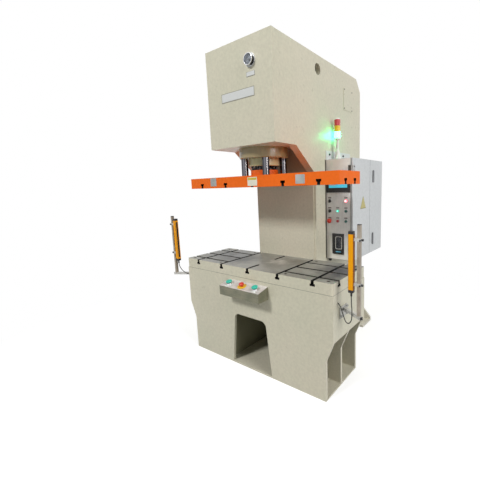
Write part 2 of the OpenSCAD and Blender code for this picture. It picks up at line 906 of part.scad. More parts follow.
plunger_d = panel_hole_d - 2 * run_gap;
plunger_in = panel_t + 14;

module panel_lamps() {
    color([0.9, 0.3, 0.3]) for (place = [[2, 0], [1, 1]]) at_panel(place[0], place[1]) {
        translate([0, 0, -plunger_in]) cylinder(d = plunger_d, h = plunger_in + bezel_t);
        translate([0, 0, bezel_t]) cylinder(d1 = plunger_d, d2 = plunger_d - 5, h = 6);
    }
}

module selector(j) {
    color(dark) at_panel(0, j) {
        translate([0, 0, -plunger_in]) cylinder(d = plunger_d, h = plunger_in + bezel_t + 2);
        translate([0, 0, bezel_t + 1]) linear_extrude(12) rounded(10, 26, 4);
    }
}

module selector_upper() {
    selector(0);
}

module selector_lower() {
    selector(1);
}

module push_button(i, j, paint) {
    color(paint) at_panel(i, j) translate([0, 0, -plunger_in])
        cylinder(d = plunger_d, h = plunger_in + bezel_t + button_travel);
}

module button_green_upper() {
    push_button(2, 1, [0.10, 0.45, 0.38]);
}

module button_red() {
    push_button(1, 2, [0.65, 0.12, 0.12]);
}

module button_green_lower() {
    push_button(2, 2, [0.10, 0.45, 0.38]);
}

// Mushroom head on a stem, standing on z = 0 with its stem below
module mushroom(head_d, stem_d, stem_in, lift) {
    rim = 5;
    dome_h = 9;
    translate([0, 0, -stem_in]) cylinder(d = stem_d, h = stem_in + lift + 1);
    translate([0, 0, lift]) rotate_extrude() difference() {
        union() {
            square([head_d / 2, rim]);
            translate([0, rim]) scale([1, 2 * dome_h / head_d]) circle(d = head_d);
        }
        translate([-head_d, -dome_h]) square([head_d, 4 * dome_h]);
        translate([-head_d, -2 * dome_h]) square([3 * head_d, 2 * dome_h]);
    }
}

stop_d = 38;

module panel_stop() {
    color([0.80, 0.13, 0.13]) at_panel(0, 2)
        mushroom(stop_d, plunger_d, plunger_in, bezel_t + hand_travel + 2);
}

socket_out = 12;
lid_pin_d = 5;
lid_z = socket_z + socket_h / 2 - 8;
lid_y = panel_y - socket_out + 5;

// Black socket box with the socket faces inside and ears for the lid's pins
module socket_frame() {
    depth = 40;
    wall = 4;
    ear = 6;
    frame_w2 = socket_w / 2;
    color(dark) difference() {
        union() {
            span([socket_x - frame_w2, panel_y - socket_out, socket_z - socket_h / 2],
                 [socket_x + frame_w2, panel_y, socket_z + socket_h / 2]);
            span([socket_x - frame_w2 + 6, panel_y - 1, socket_z - socket_h / 2 + 6],
                 [socket_x + frame_w2 - 6, panel_y + depth, socket_z + socket_h / 2 - 6]);
        }
        span([socket_x - frame_w2 + 6 + wall, panel_y - socket_out - 1, socket_z - socket_h / 2 + 6 + wall],
             [socket_x + frame_w2 - 6 - wall, panel_y + depth - wall, socket_z + socket_h / 2 - 22]);
        span([socket_x - frame_w2 + ear, panel_y - socket_out - 1, socket_z - socket_h / 2 + 8],
             [socket_x + frame_w2 - ear, panel_y - 3, socket_z + socket_h / 2 + 1]);
        translate([socket_x - frame_w2 - 1, lid_y, lid_z]) rotate([0, 90, 0])
            cylinder(d = lid_pin_d + 2 * run_gap, h = socket_w + 2);
    }
    color([0.7, 0.7, 0.72]) for (z = [-38, 8])
        translate([socket_x, panel_y + depth - wall, socket_z + z]) rotate([90, 0, 0])
            cylinder(d = 40, h = 12);
}

// Clear lid with two pins in the frame's ears
module socket_lid() {
    lid_w = socket_w - 14;
    lid_low = socket_z - socket_h / 2 + 10;
    color([0.75, 0.80, 0.85, 0.5]) {
        span([socket_x - lid_w / 2, lid_y - 3, lid_low], [socket_x + lid_w / 2, lid_y + 1, lid_z]);
        translate([socket_x - lid_w / 2, lid_y, lid_z]) rotate([0, 90, 0]) cylinder(d = 7, h = lid_w);
        translate([socket_x - socket_w / 2 + 1, lid_y, lid_z]) rotate([0, 90, 0])
            cylinder(d = lid_pin_d, h = socket_w - 2);
    }
}

// Signal tower

tower_x = cab_x0 + 51;
tower_y = cab_y + 103;
tower_base_h = 83;
lens_z = cab_top + tower_rise;

module tower_stand() {
    color([0.85, 0.86, 0.84]) translate([tower_x, tower_y, cab_top]) rotate_extrude() polygon([
        [0, 0], [28, 0], [28, 8], [22, 20], [18, tower_base_h - 20], [12, tower_base_h],
        [12, tower_rise - 14], [lens_d / 2, tower_rise - 10], [lens_d / 2, tower_rise], [0, tower_rise]
    ]);
}

module tower_lens(i, paint) {
    color(paint) translate([tower_x, tower_y, lens_z + i * lens_h]) {
        cylinder(d = lens_d, h = lens_h - 3);
        cylinder(d = lens_d - 3, h = lens_h);
    }
}

module tower_green() {
    tower_lens(0, [0.30, 0.95, 0.60]);
}

module tower_amber() {
    tower_lens(1, [0.92, 0.78, 0.12]);
}

// Red lens with the tower's cap
module tower_red() {
    tower_lens(2, [0.80, 0.25, 0.25]);
    color([0.9, 0.9, 0.88]) translate([tower_x, tower_y, lens_z + 3 * lens_h])
        cylinder(d1 = lens_d, d2 = lens_d - 6, h = 8);
}

// Two-hand console

console_top_z = table_h - console_drop;
console_z = console_top_z - console_h;
console_tilt = atan(console_fall / console_d);
button_y = front_y - console_d * 0.59;
button_z = console_top_z - console_fall * 0.59;
collar_h = 10;
stem_d = 18;
stem_in = 30;

module at_console(x) {
    translate([x, button_y, button_z]) rotate([console_tilt, 0, 0]) children();
}

module console_outline(t) {
    polygon([
        [front_y - console_d + t, console_z + t], [front_y, console_z + t],
        [front_y, console_top_z - t], [front_y - console_d + t, console_top_z - console_fall - t]
    ]);
}

// Sheet box, open towards the frame, with the sleeves and collars of its buttons
module console_box() {
    sheet = 3;
    sleeve_d = stem_d + 10;
    disc_d = 66;
    disc_t = 4;
    hand_x = [-hand_pitch / 2, hand_pitch / 2];
    difference() {
        union() {
            color([0.60, 0.60, 0.57]) difference() {
                plate_x(-console_w / 2, console_w / 2) console_outline(0);
                plate_x(-console_w / 2 + sheet, console_w / 2 - sheet) console_outline(sheet);
            }
            for (x = [-hand_pitch / 2, 0, hand_pitch / 2]) at_console(x)
                translate([0, 0, -stem_in - hand_travel - 4])
                    cylinder(d = sleeve_d, h = stem_in + hand_travel + 3);
            color(chrome) for (x = hand_x) at_console(x) {
                translate([0, 0, -1]) cylinder(d = hand_d - 4, h = 2);
                translate([0, 0, 1]) cylinder(d1 = hand_d - 4, d2 = hand_d - 10, h = collar_h - 1);
            }
            color([0.90, 0.75, 0.10]) at_console(0) translate([0, 0, -1])
                cylinder(d = disc_d, h = disc_t + 1);
        }
        for (x = [-hand_pitch / 2, 0, hand_pitch / 2]) at_console(x)
            translate([0, 0, -stem_in - hand_travel - 1])
                cylinder(d = stem_d + 2 * run_gap, h = stem_in + hand_travel + 20);
    }
}

module hand_button(side) {
    color([0.10, 0.62, 0.52]) at_console(side * hand_pitch / 2)
        mushroom(hand_d, stem_d, stem_in, collar_h + hand_travel + 1);
}

module hand_button_left() {
    hand_button(-1);
}

module hand_button_right() {
    hand_button(1);
}

module console_stop() {
    color([0.85, 0.15, 0.12]) at_console(0) mushroom(stop_d, stem_d, stem_in, hand_travel + 12);
}

// Light curtains

arm_angle = 30.5;
// Left and right values
curtain_y = [front_y - 27, front_y + 50];
curtain_z = [table_h - 10, table_h - 29];
post_y = [front_y - 24, front_y + 58];
arm_z = [table_under - 71, table_under - 117];
clamp_z = [[51, 300], [34, 299]];
plate_y0 = [-20, -60];
curtain_x = post_x - 45;
cap_h = 17;
gland_len = 24;
arm_dy = (post_x - table_w / 2) * tan(arm_angle);
post_top = curtain_z[1] + curtain_h + 55;

// Children are placed for the right side, and mirrored for the left
module at_curtain(i) {
    mirror([1 - i, 0, 0]) children();
}

module curtain_body(i) {
    translate([curtain_x, curtain_y[i], curtain_z[i]]) {
        color([0.95, 0.68, 0.08]) difference() {
            linear_extrude(curtain_h) rounded(curtain_w, curtain_d, 4);
            span([-curtain_w / 2 - 1, -8, 12], [-curtain_w / 2 + 2, 8, curtain_h - 12]);
        }
        color(dark) {
            translate([0, 0, curtain_h]) linear_extrude(cap_h)
                rounded(curtain_w - 1, curtain_d - 1, 4);
            translate([0, 0, -cap_h]) linear_extrude(cap_h)
                rounded(curtain_w - 1, curtain_d - 1, 4);
            translate([0, 0, -cap_h - gland_len]) cylinder(d = 12, h = gland_len);
        }
    }
}

module light_curtains() {
    for (i = [0, 1]) at_curtain(i) curtain_body(i);
}

// Square post with its arm, wall bracket and the clamps that hold the curtain
module curtain_stand(i) {
    plate = 8;
    wall = 2;
    clamp_h = 18;
    skirt_x = table_w / 2;
    root_y = post_y[i] + arm_dy;
    arm_len = (post_x - skirt_x) / cos(arm_angle) + 40;
    post_len = post_top - arm_z[i];
    reach = 200;
    difference() {
        union() {
            translate([post_x, post_y[i], arm_z[i]]) rotate([0, 0, 180 - arm_angle])
                translate([-22, -post_w / 2, -post_w / 2]) cube([arm_len, post_w, post_w]);
            span([skirt_x, root_y + plate_y0[i], arm_z[i] - 50],
                 [skirt_x + plate, root_y + plate_y0[i] + 100, arm_z[i] + 22]);
            translate([post_x - post_w / 2, post_y[i] - post_w / 2, arm_z[i]])
                cube([post_w, post_w, post_len]);
            for (z = clamp_z[i])
                span([curtain_x + curtain_w / 2, post_y[i] - 13, curtain_z[i] + z - clamp_h / 2],
                     [post_x + post_w / 2 + 4, post_y[i] + 13, curtain_z[i] + z + clamp_h / 2]);
        }
        span([skirt_x - reach, root_y - reach, arm_z[i] - reach],
             [skirt_x, root_y + reach, arm_z[i] + reach]);
        translate([post_x - post_w / 2 + wall, post_y[i] - post_w / 2 + wall, arm_z[i] + post_w / 2 + 2])
            cube([post_w - 2 * wall, post_w - 2 * wall, post_len]);
    }
}

module curtain_stands() {
    color([0.75, 0.75, 0.74]) for (i = [0, 1]) at_curtain(i) curtain_stand(i);
}

// Cables

cable_d = 6;
cable_sides = 8;
cable_in = 3;

function bend(a, b, c, d, t) = 0.5 * (2 * b + (c - a) * t
    + (2 * a - 5 * b + 4 * c - d) * t * t + (3 * b - a - 3 * c + d) * t * t * t);
function padded(p) = concat([2 * p[0] - p[1]], p, [2 * p[len(p) - 1] - p[len(p) - 2]]);
function smooth(p, n) = [
    for (i = [1:len(p) - 3], j = [0:n - 1]) bend(p[i - 1], p[i], p[i + 1], p[i + 2], j / n),
    p[len(p) - 2]
];
function along(p, i) = p[min(i + 1, len(p) - 1)] - p[max(i - 1, 0)];
function unit(v) = v / norm(v);
function across(p, i) = unit(cross(along(p, i), [0, 1, 0]));
function upright(p, i) = unit(cross(across(p, i), along(p, i)));

// Round cable swept along a route
module cable(route, d, sides) {
    n = len(route);
    rim = [for (i = [0:n - 1], k = [0:sides - 1])
        route[i] + d / 2 * (cos(360 * k / sides) * across(route, i)
            + sin(360 * k / sides) * upright(route, i))];
    walls = [for (i = [0:n - 2], k = [0:sides - 1]) [
        i * sides + k, i * sides + (k + 1) % sides,
        (i + 1) * sides + (k + 1) % sides, (i + 1) * sides + k
    ]];
    first = [for (k = [0:sides - 1]) sides - 1 - k];
    last = [for (k = [0:sides - 1]) (n - 1) * sides + k];
    polyhedron(points = rim, faces = concat([first], walls, [last]), convexity = 6);
}

// Each cable leaves its curtain's gland, hangs and enters the base's side
left_top = [-curtain_x, curtain_y[0], curtain_z[0] - cap_h - gland_len + cable_in];
left_end = [cable_in - table_w / 2, front_y + 25, table_under - 76];
left_route = [
    left_top, left_top + [2, 1, -22], left_top + [11, 5, -46], left_top + [28, 13, -70],
    left_end + [-46, -26, 16], left_end + [-22, -12, 5], left_end
];
right_top = [curtain_x, curtain_y[1], curtain_z[1] - cap_h - gland_len + cable_in];
right_end = [table_w / 2 - cable_in, front_y + 62, table_under - 56];
right_route = [
    right_top, right_top + [0, 1, -36], right_top + [-2, 13, -106], right_top + [-11, 24, -166],
    right_top + [-31, 29, -193], right_end + [48, 12, -113], right_end + [32, 8, -66],
    right_end + [17, 3, -20], right_end
];

module cable_left() {
    color(dark) cable(smooth(padded(left_route), 2), cable_d, cable_sides);
}

module cable_right() {
    color(dark) cable(smooth(padded(right_route), 3), cable_d, cable_sides);
}

side_plate_left();
side_plate_right();
head_front_plate();
head_top_plate();
cylinder_seat_plate();
throat_plate();
rear_plate();
rear_cover();
base_front_plate();
base_webs();
floor_plate();
side_skirts();
work_table();
access_cover();
cylinder_barrel();
guide_flange();
guide_bushes();
piston();
guide_rods();
ram_plate();
ram_boss();
oil_tank();
electric_motor();
pump_coupling();
hydraulic_pump();
valve_block();
pressure_pipe();
gauge_case();
gauge_needle();
gauge_glass();
cabinet_box();
cabinet_door();
door_hinges();
hinge_leaves();
lock_upper();
lock_lower();
device_plate();
operator_panel();
touch_screen();
panel_lamps();
selector_upper();
selector_lower();
button_green_upper();
button_red();
button_green_lower();
panel_stop();
socket_frame();
socket_lid();
tower_stand();
tower_green();
tower_amber();
tower_red();
console_box();
hand_button_left();
hand_button_right();
console_stop();
light_curtains();
curtain_stands();
cable_left();
cable_right();
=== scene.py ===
"""Finish, small fittings and stage of a C-frame hydraulic press."""

import math
from collections import namedtuple

import bmesh
import bpy
import numpy as np
from mathutils import Matrix, Vector


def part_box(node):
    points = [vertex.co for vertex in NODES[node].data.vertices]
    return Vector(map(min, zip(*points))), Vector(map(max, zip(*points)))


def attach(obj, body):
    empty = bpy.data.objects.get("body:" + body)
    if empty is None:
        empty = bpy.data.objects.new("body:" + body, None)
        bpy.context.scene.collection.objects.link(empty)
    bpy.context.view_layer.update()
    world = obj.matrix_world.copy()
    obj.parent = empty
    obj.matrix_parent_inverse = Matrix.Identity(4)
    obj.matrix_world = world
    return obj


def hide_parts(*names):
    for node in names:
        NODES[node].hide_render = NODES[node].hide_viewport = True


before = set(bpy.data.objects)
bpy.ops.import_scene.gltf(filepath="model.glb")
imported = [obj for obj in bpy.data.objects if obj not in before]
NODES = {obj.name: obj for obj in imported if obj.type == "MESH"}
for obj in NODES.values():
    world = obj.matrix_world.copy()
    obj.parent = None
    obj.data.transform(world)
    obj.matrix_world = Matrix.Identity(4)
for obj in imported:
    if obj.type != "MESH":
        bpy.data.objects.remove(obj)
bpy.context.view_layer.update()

bl_info = {
    "name": "C-frame press finish",
    "version": (1, 0, 0),
    "blender": (4, 2, 0),
    "location": "View3D > Sidebar > Press",
    "description": "Paints, fastenings, plates, gauge face, lamps and cables of a hydraulic press",
    "category": "Object",
}

COATS = {}
Axes = namedtuple("Axes", "x y z")
FRONT, RIGHT, UP, DOWN = (0, -1, 0), (1, 0, 0), (0, 0, 1), (0, 0, -1)
MM = 0.001
# A face counts as inside an edge when it lies this far in
INSIDE, JUST_INSIDE = 0.0005, 0.0002

# Places that the boxes of the CAD's nodes don't give, in metres
CABINET_HEIGHT = 0.8
HINGE_ZS = (0.867, 1.493)
SOCKET_ZS = (0.869, 0.915)
DEVICE_XS = (0.336, 0.407, 0.478)
DEVICE_ZS = (1.251, 1.171, 1.091)
CONSOLE_TILT = math.atan2(24, 102)
CONSOLE_EDGE_Z = 0.667
COLUMN_X, COLUMN_BACK = 0.300, 1.046
# T-slots of the table: across it, back from its front edge, and half a slot's width
SLOT_XS = (-0.556, -0.278, 0.278, 0.556)
CROSS_ROWS = (0.080, 0.223, 0.366)
HALF_SLOT = 0.0155
# Window in the socket lid's rim: width, height, shift across and up
WINDOW = (0.067, 0.113, 0.0085, 0.0055)
# Light curtains: side, height of the arm, heights of the clamps, y of post, shift of bracket
CURTAINS = (
    (-1, 0.646, (0.836, 1.085), -0.264, -0.020),
    (1, 0.600, (0.800, 1.065), -0.182, -0.060),
)
POST_X = 0.840


# Places read from the frame


def low(node):
    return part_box(node)[0]


def high(node):
    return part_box(node)[1]


def middle(node):
    a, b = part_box(node)
    return (a + b) / 2


def within(values, start, stop):
    return (values > start) & (values < stop)


# Colours and material trees


def linear(code):
    """An sRGB hex code as linear red, green and blue."""
    parts = [int(code[i : i + 2], 16) / 255 for i in (1, 3, 5)]
    return [c / 12.92 if c <= 0.04045 else ((c + 0.055) / 1.055) ** 2.4 for c in parts]


def opaque(colour, by=1):
    """RGBA of a hex code or of a linear colour, made darker by a factor."""
    if isinstance(colour, str):
        colour = linear(colour)
    return (*(c * by for c in colour), 1.0)


def add(tree, kind, inputs=(), **settings):
    """Adds a node with its properties and its inputs, by name or in order; gives its outputs."""
    node = tree.nodes.new(kind)
    for key, value in settings.items():
        setattr(node, key, value)
    for key, value in inputs.items() if isinstance(inputs, dict) else enumerate(inputs):
        if isinstance(value, bpy.types.NodeSocket):
            tree.links.new(value, node.inputs[key])
        else:
            node.inputs[key].default_value = value
    return node.outputs


def new_material(name):
    """A material and its empty tree."""
    material = bpy.data.materials.new(name)
    material.use_nodes = True
    material.node_tree.nodes.clear()
    return material, material.node_tree


def finished(material, tree, inputs):
    """Ends a material's tree with its one shader."""
    shader = add(tree, "ShaderNodeBsdfPrincipled", inputs)[0]
    add(tree, "ShaderNodeOutputMaterial", {"Surface": shader})
    return material


def measured(tree, at=(0, 0, 0), stretch=(1, 1, 1)):
    """Object coordinates from a place, stretched along each axis."""
    return add(tree, "ShaderNodeMapping", {
        "Vector": add(tree, "ShaderNodeTexCoord")["Object"],
        "Location": [-a / b for a, b in zip(at, stretch)],
        "Scale": [1 / b for b in stretch],
    })["Vector"]


def pattern(tree, size_mm, stretch=(1, 1, 1), detail=2.0, rough=0.5, span=None):
    """Noise whose grains are size_mm wide, spread over a span of values if one is given."""
    noise = add(tree, "ShaderNodeTexNoise", {
        "Vector": measured(tree, stretch=stretch), "Scale": 1 / (size_mm * MM),
        "Detail": detail, "Roughness": rough,
    })["Fac"]
    return add(tree, "ShaderNodeMapRange", (noise, 0.3, 0.7, *span))[0] if span else noise


def spot(tree, at, stretch, inner, outer):
    """0 within inner metres of a place, 1 beyond outer, with a ragged rim."""
    away = add(tree, "ShaderNodeVectorMath", (measured(tree, at, stretch),), operation="LENGTH")
    ragged = pattern(tree, 60, detail=3.0, span=(-0.04, 0.04))
    away = add(tree, "ShaderNodeMath", (away["Value"], ragged), operation="ADD")[0]
    return add(tree, "ShaderNodeMapRange", (away, inner, outer, 0, 1))[0]


def sprayed_enamel(name, colour, shade, peel_mm=9.0, gloss=0.32, mottle=0.05, ior=1.42):
    """Sprayed enamel on steel: a slow drift in tone, spray mottle and an orange-peel skin."""
    material, tree = new_material(name)
    drift = pattern(tree, 420, span=(0, 1))
    skin = add(tree, "ShaderNodeMix", {0: drift, 6: opaque(colour), 7: opaque(shade)},
               data_type="RGBA")[2]
    # The spray leaves soft patches 15 to 30 mm wide
    patches = pattern(tree, 18, span=(1 - mottle, 1 + mottle))
    # Real orange peel is 2 to 3 mm wide; it is drawn 9 mm wide so that it shows
    peel = pattern(tree, peel_mm, detail=1.0)
    return finished(material, tree, {
        "Base Color": add(tree, "ShaderNodeVectorMath", {0: skin, "Scale": patches},
                          operation="SCALE")["Vector"],
        "Roughness": pattern(tree, 60, span=(gloss - 0.05, gloss + 0.07)),
        "Normal": add(tree, "ShaderNodeBump",
                      {"Height": peel, "Strength": 0.2, "Distance": 0.4 * MM})["Normal"],
        "IOR": ior,
    })


def ground_steel(name, colour, shade, along="X", gloss=0.3, line_mm=1.2, metal=1.0, cloud_mm=70,
                 stains_and_sheens=()):
    """Ground or brushed steel: fine lines one way and a cloudy, oiled sheen."""
    material, tree = new_material(name)
    long_way = {"X": (90, 1, 1), "Y": (1, 90, 1), "Z": (1, 1, 90)}[along]
    # Grinding lines are 0.2 mm apart; they are drawn wider so that they show
    lines = pattern(tree, line_mm, long_way, detail=3.0)
    cloud = pattern(tree, cloud_mm, detail=3.0, rough=0.6)
    tone = add(tree, "ShaderNodeMath", (lines, cloud), operation="ADD")[0]
    part = add(tree, "ShaderNodeMapRange", (tone, 0.8, 1.2, 0, 1))[0]
    skin = add(tree, "ShaderNodeMix", {0: part, 6: opaque(shade), 7: opaque(colour)},
               data_type="RGBA")[2]
    # Spots at given places: stains, painted reflections and painted highlights
    for *where, stain_and_sheen in stains_and_sheens:
        skin = add(tree, "ShaderNodeMix", {0: spot(tree, *where), 6: opaque(stain_and_sheen), 7: skin},
                   data_type="RGBA")[2]
    return finished(material, tree, {
        "Base Color": skin,
        "Metallic": metal,
        "Roughness": add(tree, "ShaderNodeMapRange",
                         (cloud, 0.3, 0.7, gloss - 0.06, gloss + 0.16))[0],
        "Normal": add(tree, "ShaderNodeBump",
                      {"Height": lines, "Strength": 0.12, "Distance": 0.2 * MM})["Normal"],
    })


def plated(name, colour, gloss=0.1):
    """Hard chrome or bright zinc: a mirror with faint polishing marks."""
    material, tree = new_material(name)
    marks = pattern(tree, 2.0, (1, 1, 0.1))
    return finished(material, tree, {
        "Base Color": add(tree, "ShaderNodeMix",
                          {0: marks, 6: opaque(colour, 0.9), 7: opaque(colour)},
                          data_type="RGBA")[2],
        "Metallic": 1.0,
        "Roughness": add(tree, "ShaderNodeMapRange", (marks, 0.3, 0.7, gloss, gloss + 0.06))[0],
    })


def moulded(name, colour, gloss=0.35):
    """Moulded plastic or rubber: even colour with a fine die texture."""
    material, tree = new_material(name)
    # A die's grain is 0.8 mm wide; it is drawn 2.4 mm wide so that it shows
    grain = pattern(tree, 2.4, detail=1.0)
    return finished(material, tree, {
        "Base Color": add(tree, "ShaderNodeMix",
                          {0: grain, 6: opaque(colour, 0.82), 7: opaque(colour)},
                          data_type="RGBA")[2],
        "Roughness": add(tree, "ShaderNodeMapRange", (grain, 0.3, 0.7, gloss, gloss + 0.1))[0],
        "Normal": add(tree, "ShaderNodeBump",
                      {"Height": grain, "Strength": 0.12, "Distance": 0.15 * MM})["Normal"],
        "IOR": 1.49,
    })


def lit_lens(name, colour, glow, strength, axis_at=(0, 0, 0)):
    """Translucent lens with 36 ribs round its axis, lit from inside."""
    material, tree = new_material(name)
    turn = add(tree, "ShaderNodeTexGradient", (measured(tree, axis_at),),
               gradient_type="RADIAL")["Fac"]
    wave = add(tree, "ShaderNodeMath", (turn, 36 * 2 * math.pi), operation="MULTIPLY")[0]
    rib = add(tree, "ShaderNodeMath", (wave,), operation="SINE")[0]
    part = add(tree, "ShaderNodeMapRange", (rib, 0.3, 0.7, 0.2, 0.8))[0]
    return finished(material, tree, {
        "Base Color": add(tree, "ShaderNodeMix",
                          {0: part, 6: opaque(colour, 0.8), 7: opaque(colour)},
                          data_type="RGBA")[2],
        "Roughness": add(tree, "ShaderNodeMapRange", (rib, 0.3, 0.7, 0.18, 0.26))[0],
        "Normal": add(tree, "ShaderNodeBump",
                      {"Height": rib, "Strength": 0.4, "Distance": 0.8 * MM})["Normal"],
        "IOR": 1.49,
        "Emission Color": opaque(glow),
        "Emission Strength": strength,
    })


def clear_pane(name, colour, alpha):
    """Clear moulded polycarbonate or glass, faintly tinted."""
    material, tree = new_material(name)
    return finished(material, tree, {
        "Base Color": opaque(colour),
        "Roughness": pattern(tree, 40, span=(0.03, 0.08)),
        "IOR": 1.5,
        "Alpha": alpha,
    })


def dimmed(colour, by):
    return [c * by for c in colour]


def make_coats(hues):
    """Every finish on the press, made once."""
    cream, cool_cream = list(hues.cream), list(hues.cool_cream)
    orange, grey = list(hues.orange), list(hues.cabinet)
    tower = middle("tower_stand")
    axis = (tower.x, tower.y, 0)
    enamels = (
        # Alkyd enamel sprayed on filled steel plate: even cream with a pebbled gloss
        ("cream", "cream_sprayed_enamel", cream, cool_cream),
        # The base wears a cooler, greener copy of the cream: painted light, the greener cast low
        # down near the floor
        ("cool_cream", "base_sprayed_enamel", cool_cream, cream),
        # The same enamel in signal orange, on a machined plate, so it is flatter
        ("orange", "orange_sprayed_enamel", orange, dimmed(orange, 0.92), 14.0, 0.5, 0.03, 1.3),
        ("boss", "boss_orange_enamel", dimmed(orange, 0.92), dimmed(orange, 0.8), 9.0, 0.32,
         0.05, 1.36),
        # The flange is painted over machined steel, so its gloss is high; its deeper, browner tone
        # is painted shade under the head
        ("flange", "flange_gloss_enamel", "#A3926B", "#95855F", 9.0, 0.14, 0.02, 1.5),
        # The gland gets a lighter coat than the flange: painted light where it sits in shade
        ("gland", "gland_enamel", "#D3CC9E", "#C6BF91", 9.0, 0.2, 0.02, 1.5),
        # The rear feet are painted paler: painted light on their faces
        ("foot", "foot_sprayed_enamel", "#E2DED2", "#DAD6C9"),
        # Inside faces are darkened to a flat olive grey: painted shade
        ("primer", "olive_primer", "#929078", "#828068", 9.0, 0.6),
        # Polyester powder coat on sheet: light grey, finely pebbled, half matt
        ("cabinet", "grey_powder_coat", grey, dimmed(grey, 0.95), 7.0, 0.42),
        # Machine enamels inside the column, darker and flatter
        ("tank", "tank_enamel", "#4C535B", "#434A52", 9.0, 0.4),
        ("motor", "motor_enamel", "#35506E", "#2D4560", 6.0, 0.4),
        ("iron", "cast_iron_paint", "#4A4B4D", "#3C3D3F", 5.0, 0.5),
        # Yellow powder coat on aluminium extrusion: strong, even and half matt
        ("curtain", "yellow_powder_coat", "#FCAA00", "#F4A200", 6.0, 0.45, 0.03, 1.3),
        # The curtains' outward sides are a darker copy of the yellow: painted shade
        ("curtain_side", "yellow_coat_in_slot", "#A86200", "#945400", 6.0, 0.5, 0.03, 1.3),
    )
    steels = (
        # Surface-ground grey iron, oiled in places: cloudy grey with fine lines
        ("table", "ground_cast_iron", "#9E9E96", "#7A7A73", "X", 0.38, 1.2, 0.25, 120, (
            # Dark patches at given places stand for oil and for the head's dark underside mirrored
            # in the table, a painted reflection; the last, pale one is a painted highlight
            ((-0.27, -0.04, 0.795), (1.0, 1, 1), 0.07, 0.21, "#5C5C58"),
            ((-0.46, 0.02, 0.795), (1.3, 1.2, 1), 0.05, 0.24, "#686866"),
            ((0.64, 0.03, 0.795), (1.0, 1, 1), 0.06, 0.24, "#5C5C5E"),
            ((0.20, 0.10, 0.795), (1.3, 1, 1), 0.03, 0.12, "#7A786F"),
            ((0.085, 0.045, 0.795), (1.3, 1, 1), -0.02, 0.085, "#CFCCC5"),
        )),
        # Brushed stainless sheet: lines run along the box
        ("console", "brushed_stainless_console", "#86836F", "#676957", "X", 0.34, 1.6, 0.3),
        # The lid is a lighter copy of the console's sheet: painted light from above
        ("console_top", "brushed_stainless_lid", "#D3CECB", "#B2ABA6", "X", 0.42, 1.6, 0.15),
        ("stand", "satin_stainless_tube", "#B3A899", "#8B8174", "Z", 0.34, 1.2, 0.4),
        ("panel", "brushed_stainless_panel", "#DDDDDC", "#C6C6C5", "Z", 0.42, 1.4, 0.15, 70, (
            # Painted sheen: lighter patches high and low on the panel
            ((0.40, 0.40, 1.60), (1.0, 1.0, 1.6), 0.06, 0.16, "#EFEDE9"),
            ((0.42, 0.40, 0.78), (1.0, 1.0, 1.0), 0.04, 0.22, "#E6E5DF"),
        )),
        # Polished castings and milled or turned metal: tool lines and a broad sheen
        ("clamp", "bright_cast_clamp", "#CFCECA", "#A6A5A1", "Z", 0.3, 1.2, 0.3),
        ("milled", "milled_steel", "#9A9A98", "#6D6D6C", "Y", 0.35),
        ("bronze", "machined_bronze", "#B58A4A", "#7E5C2C", "Z", 0.3),
        # Aluminium plate left bare: dull grey with lines along it
        ("plate", "bare_aluminium_plate", "#A6A8A6", "#8E908E", "X", 0.42, 1.0),
    )
    platings = (
        # Hard chrome on ground bar, darkened as a painted dark reflection of the room: only the
        # lamps show bright in it
        ("chrome", "hard_chrome", "#48474C", 0.07),
        # Painted reflections laid on the rods: a grey sheen and a bright band
        ("chrome_sheen", "hard_chrome_sheen", "#78777C", 0.10),
        ("chrome_band", "hard_chrome_band", "#E2DCDC", 0.12),
        # Zinc and nickel plate: paler, softer mirrors
        ("zinc", "bright_zinc_plate", "#B9BAB8", 0.24),
        ("bright", "polished_nickel", "#E2E2E4", 0.14),
    )
    mouldings = (
        # Slot walls darkened as painted shade: near black in the long slots, dark grey in the
        # cross slots
        ("slot", "oiled_slot_wall", "#121210", 0.5),
        ("cross_slot", "milled_slot_wall", "#45453F", 0.5),
        # Blackened alloy steel screws
        ("black_steel", "black_oxide_steel", "#1C1C1D", 0.38),
        # Polyamide and ABS mouldings of the devices: even colour, half gloss
        ("black", "black_polyamide", "#1B1A1C", 0.4),
        ("white", "white_abs", "#D9DAD4"),
        ("tower_white", "tower_housing_abs", "#F0EFE8", 0.3),
        ("teal", "green_acetal_button", "#2BB8A0", 0.25),
        ("dark_green", "dark_green_button", "#0F544B", 0.25),
        ("red", "red_acetal_button", "#D23A2C", 0.25),
        ("dark_red", "dark_red_button", "#A32B2B", 0.25),
        ("yellow", "yellow_abs", "#E9B922"),
        ("device", "grey_device_housing", "#BDBDB8", 0.4),
        # PVC and rubber, matt and nearly black; a warm dark grey as painted shadow in gaps, round
        # hinge leaves and in hole rims; and the shade in the door's fold
        ("rubber", "black_pvc_jacket", "#33342F", 0.5),
        ("seal", "grey_rubber_seal", "#4B473F", 0.6),
        ("fold", "grey_fold_line", "#94979B", 0.6),
        # Anodised, engraved and printed plates: flat, even colours
        ("pale_plate", "matt_anodised_plate", "#DADCDC", 0.5),
        # A dark grey for the rims round the name plates, and painted shadow in the joint under the
        # table
        ("plate_edge", "plate_edge_sealant", "#8C8A7C", 0.5),
        ("tag", "engraved_grey_tag", "#77706F", 0.5),
        ("label", "blank_polyester_label", "#F1EEDD", 0.4),
        ("label_band", "label_yellow_band", "#D2BC3E", 0.4),
        ("patch", "blank_yellow_label", "#CCC07C", 0.4),
        ("patch_edge", "label_olive_border", "#8C8548", 0.4),
        ("blue", "blue_socket_tag", "#5DA8C4", 0.4),
        ("dial", "grey_dial_card", "#969CA8", 0.5),
        ("ink", "black_dial_print", "#20242A", 0.5),
        # Die-cast locks: satin grey faces, darker rims
        ("lock_face", "grey_die_cast_lock", "#9C9EA2"),
        ("lock_side", "dark_die_cast_lock", "#5A5B5E", 0.4),
    )
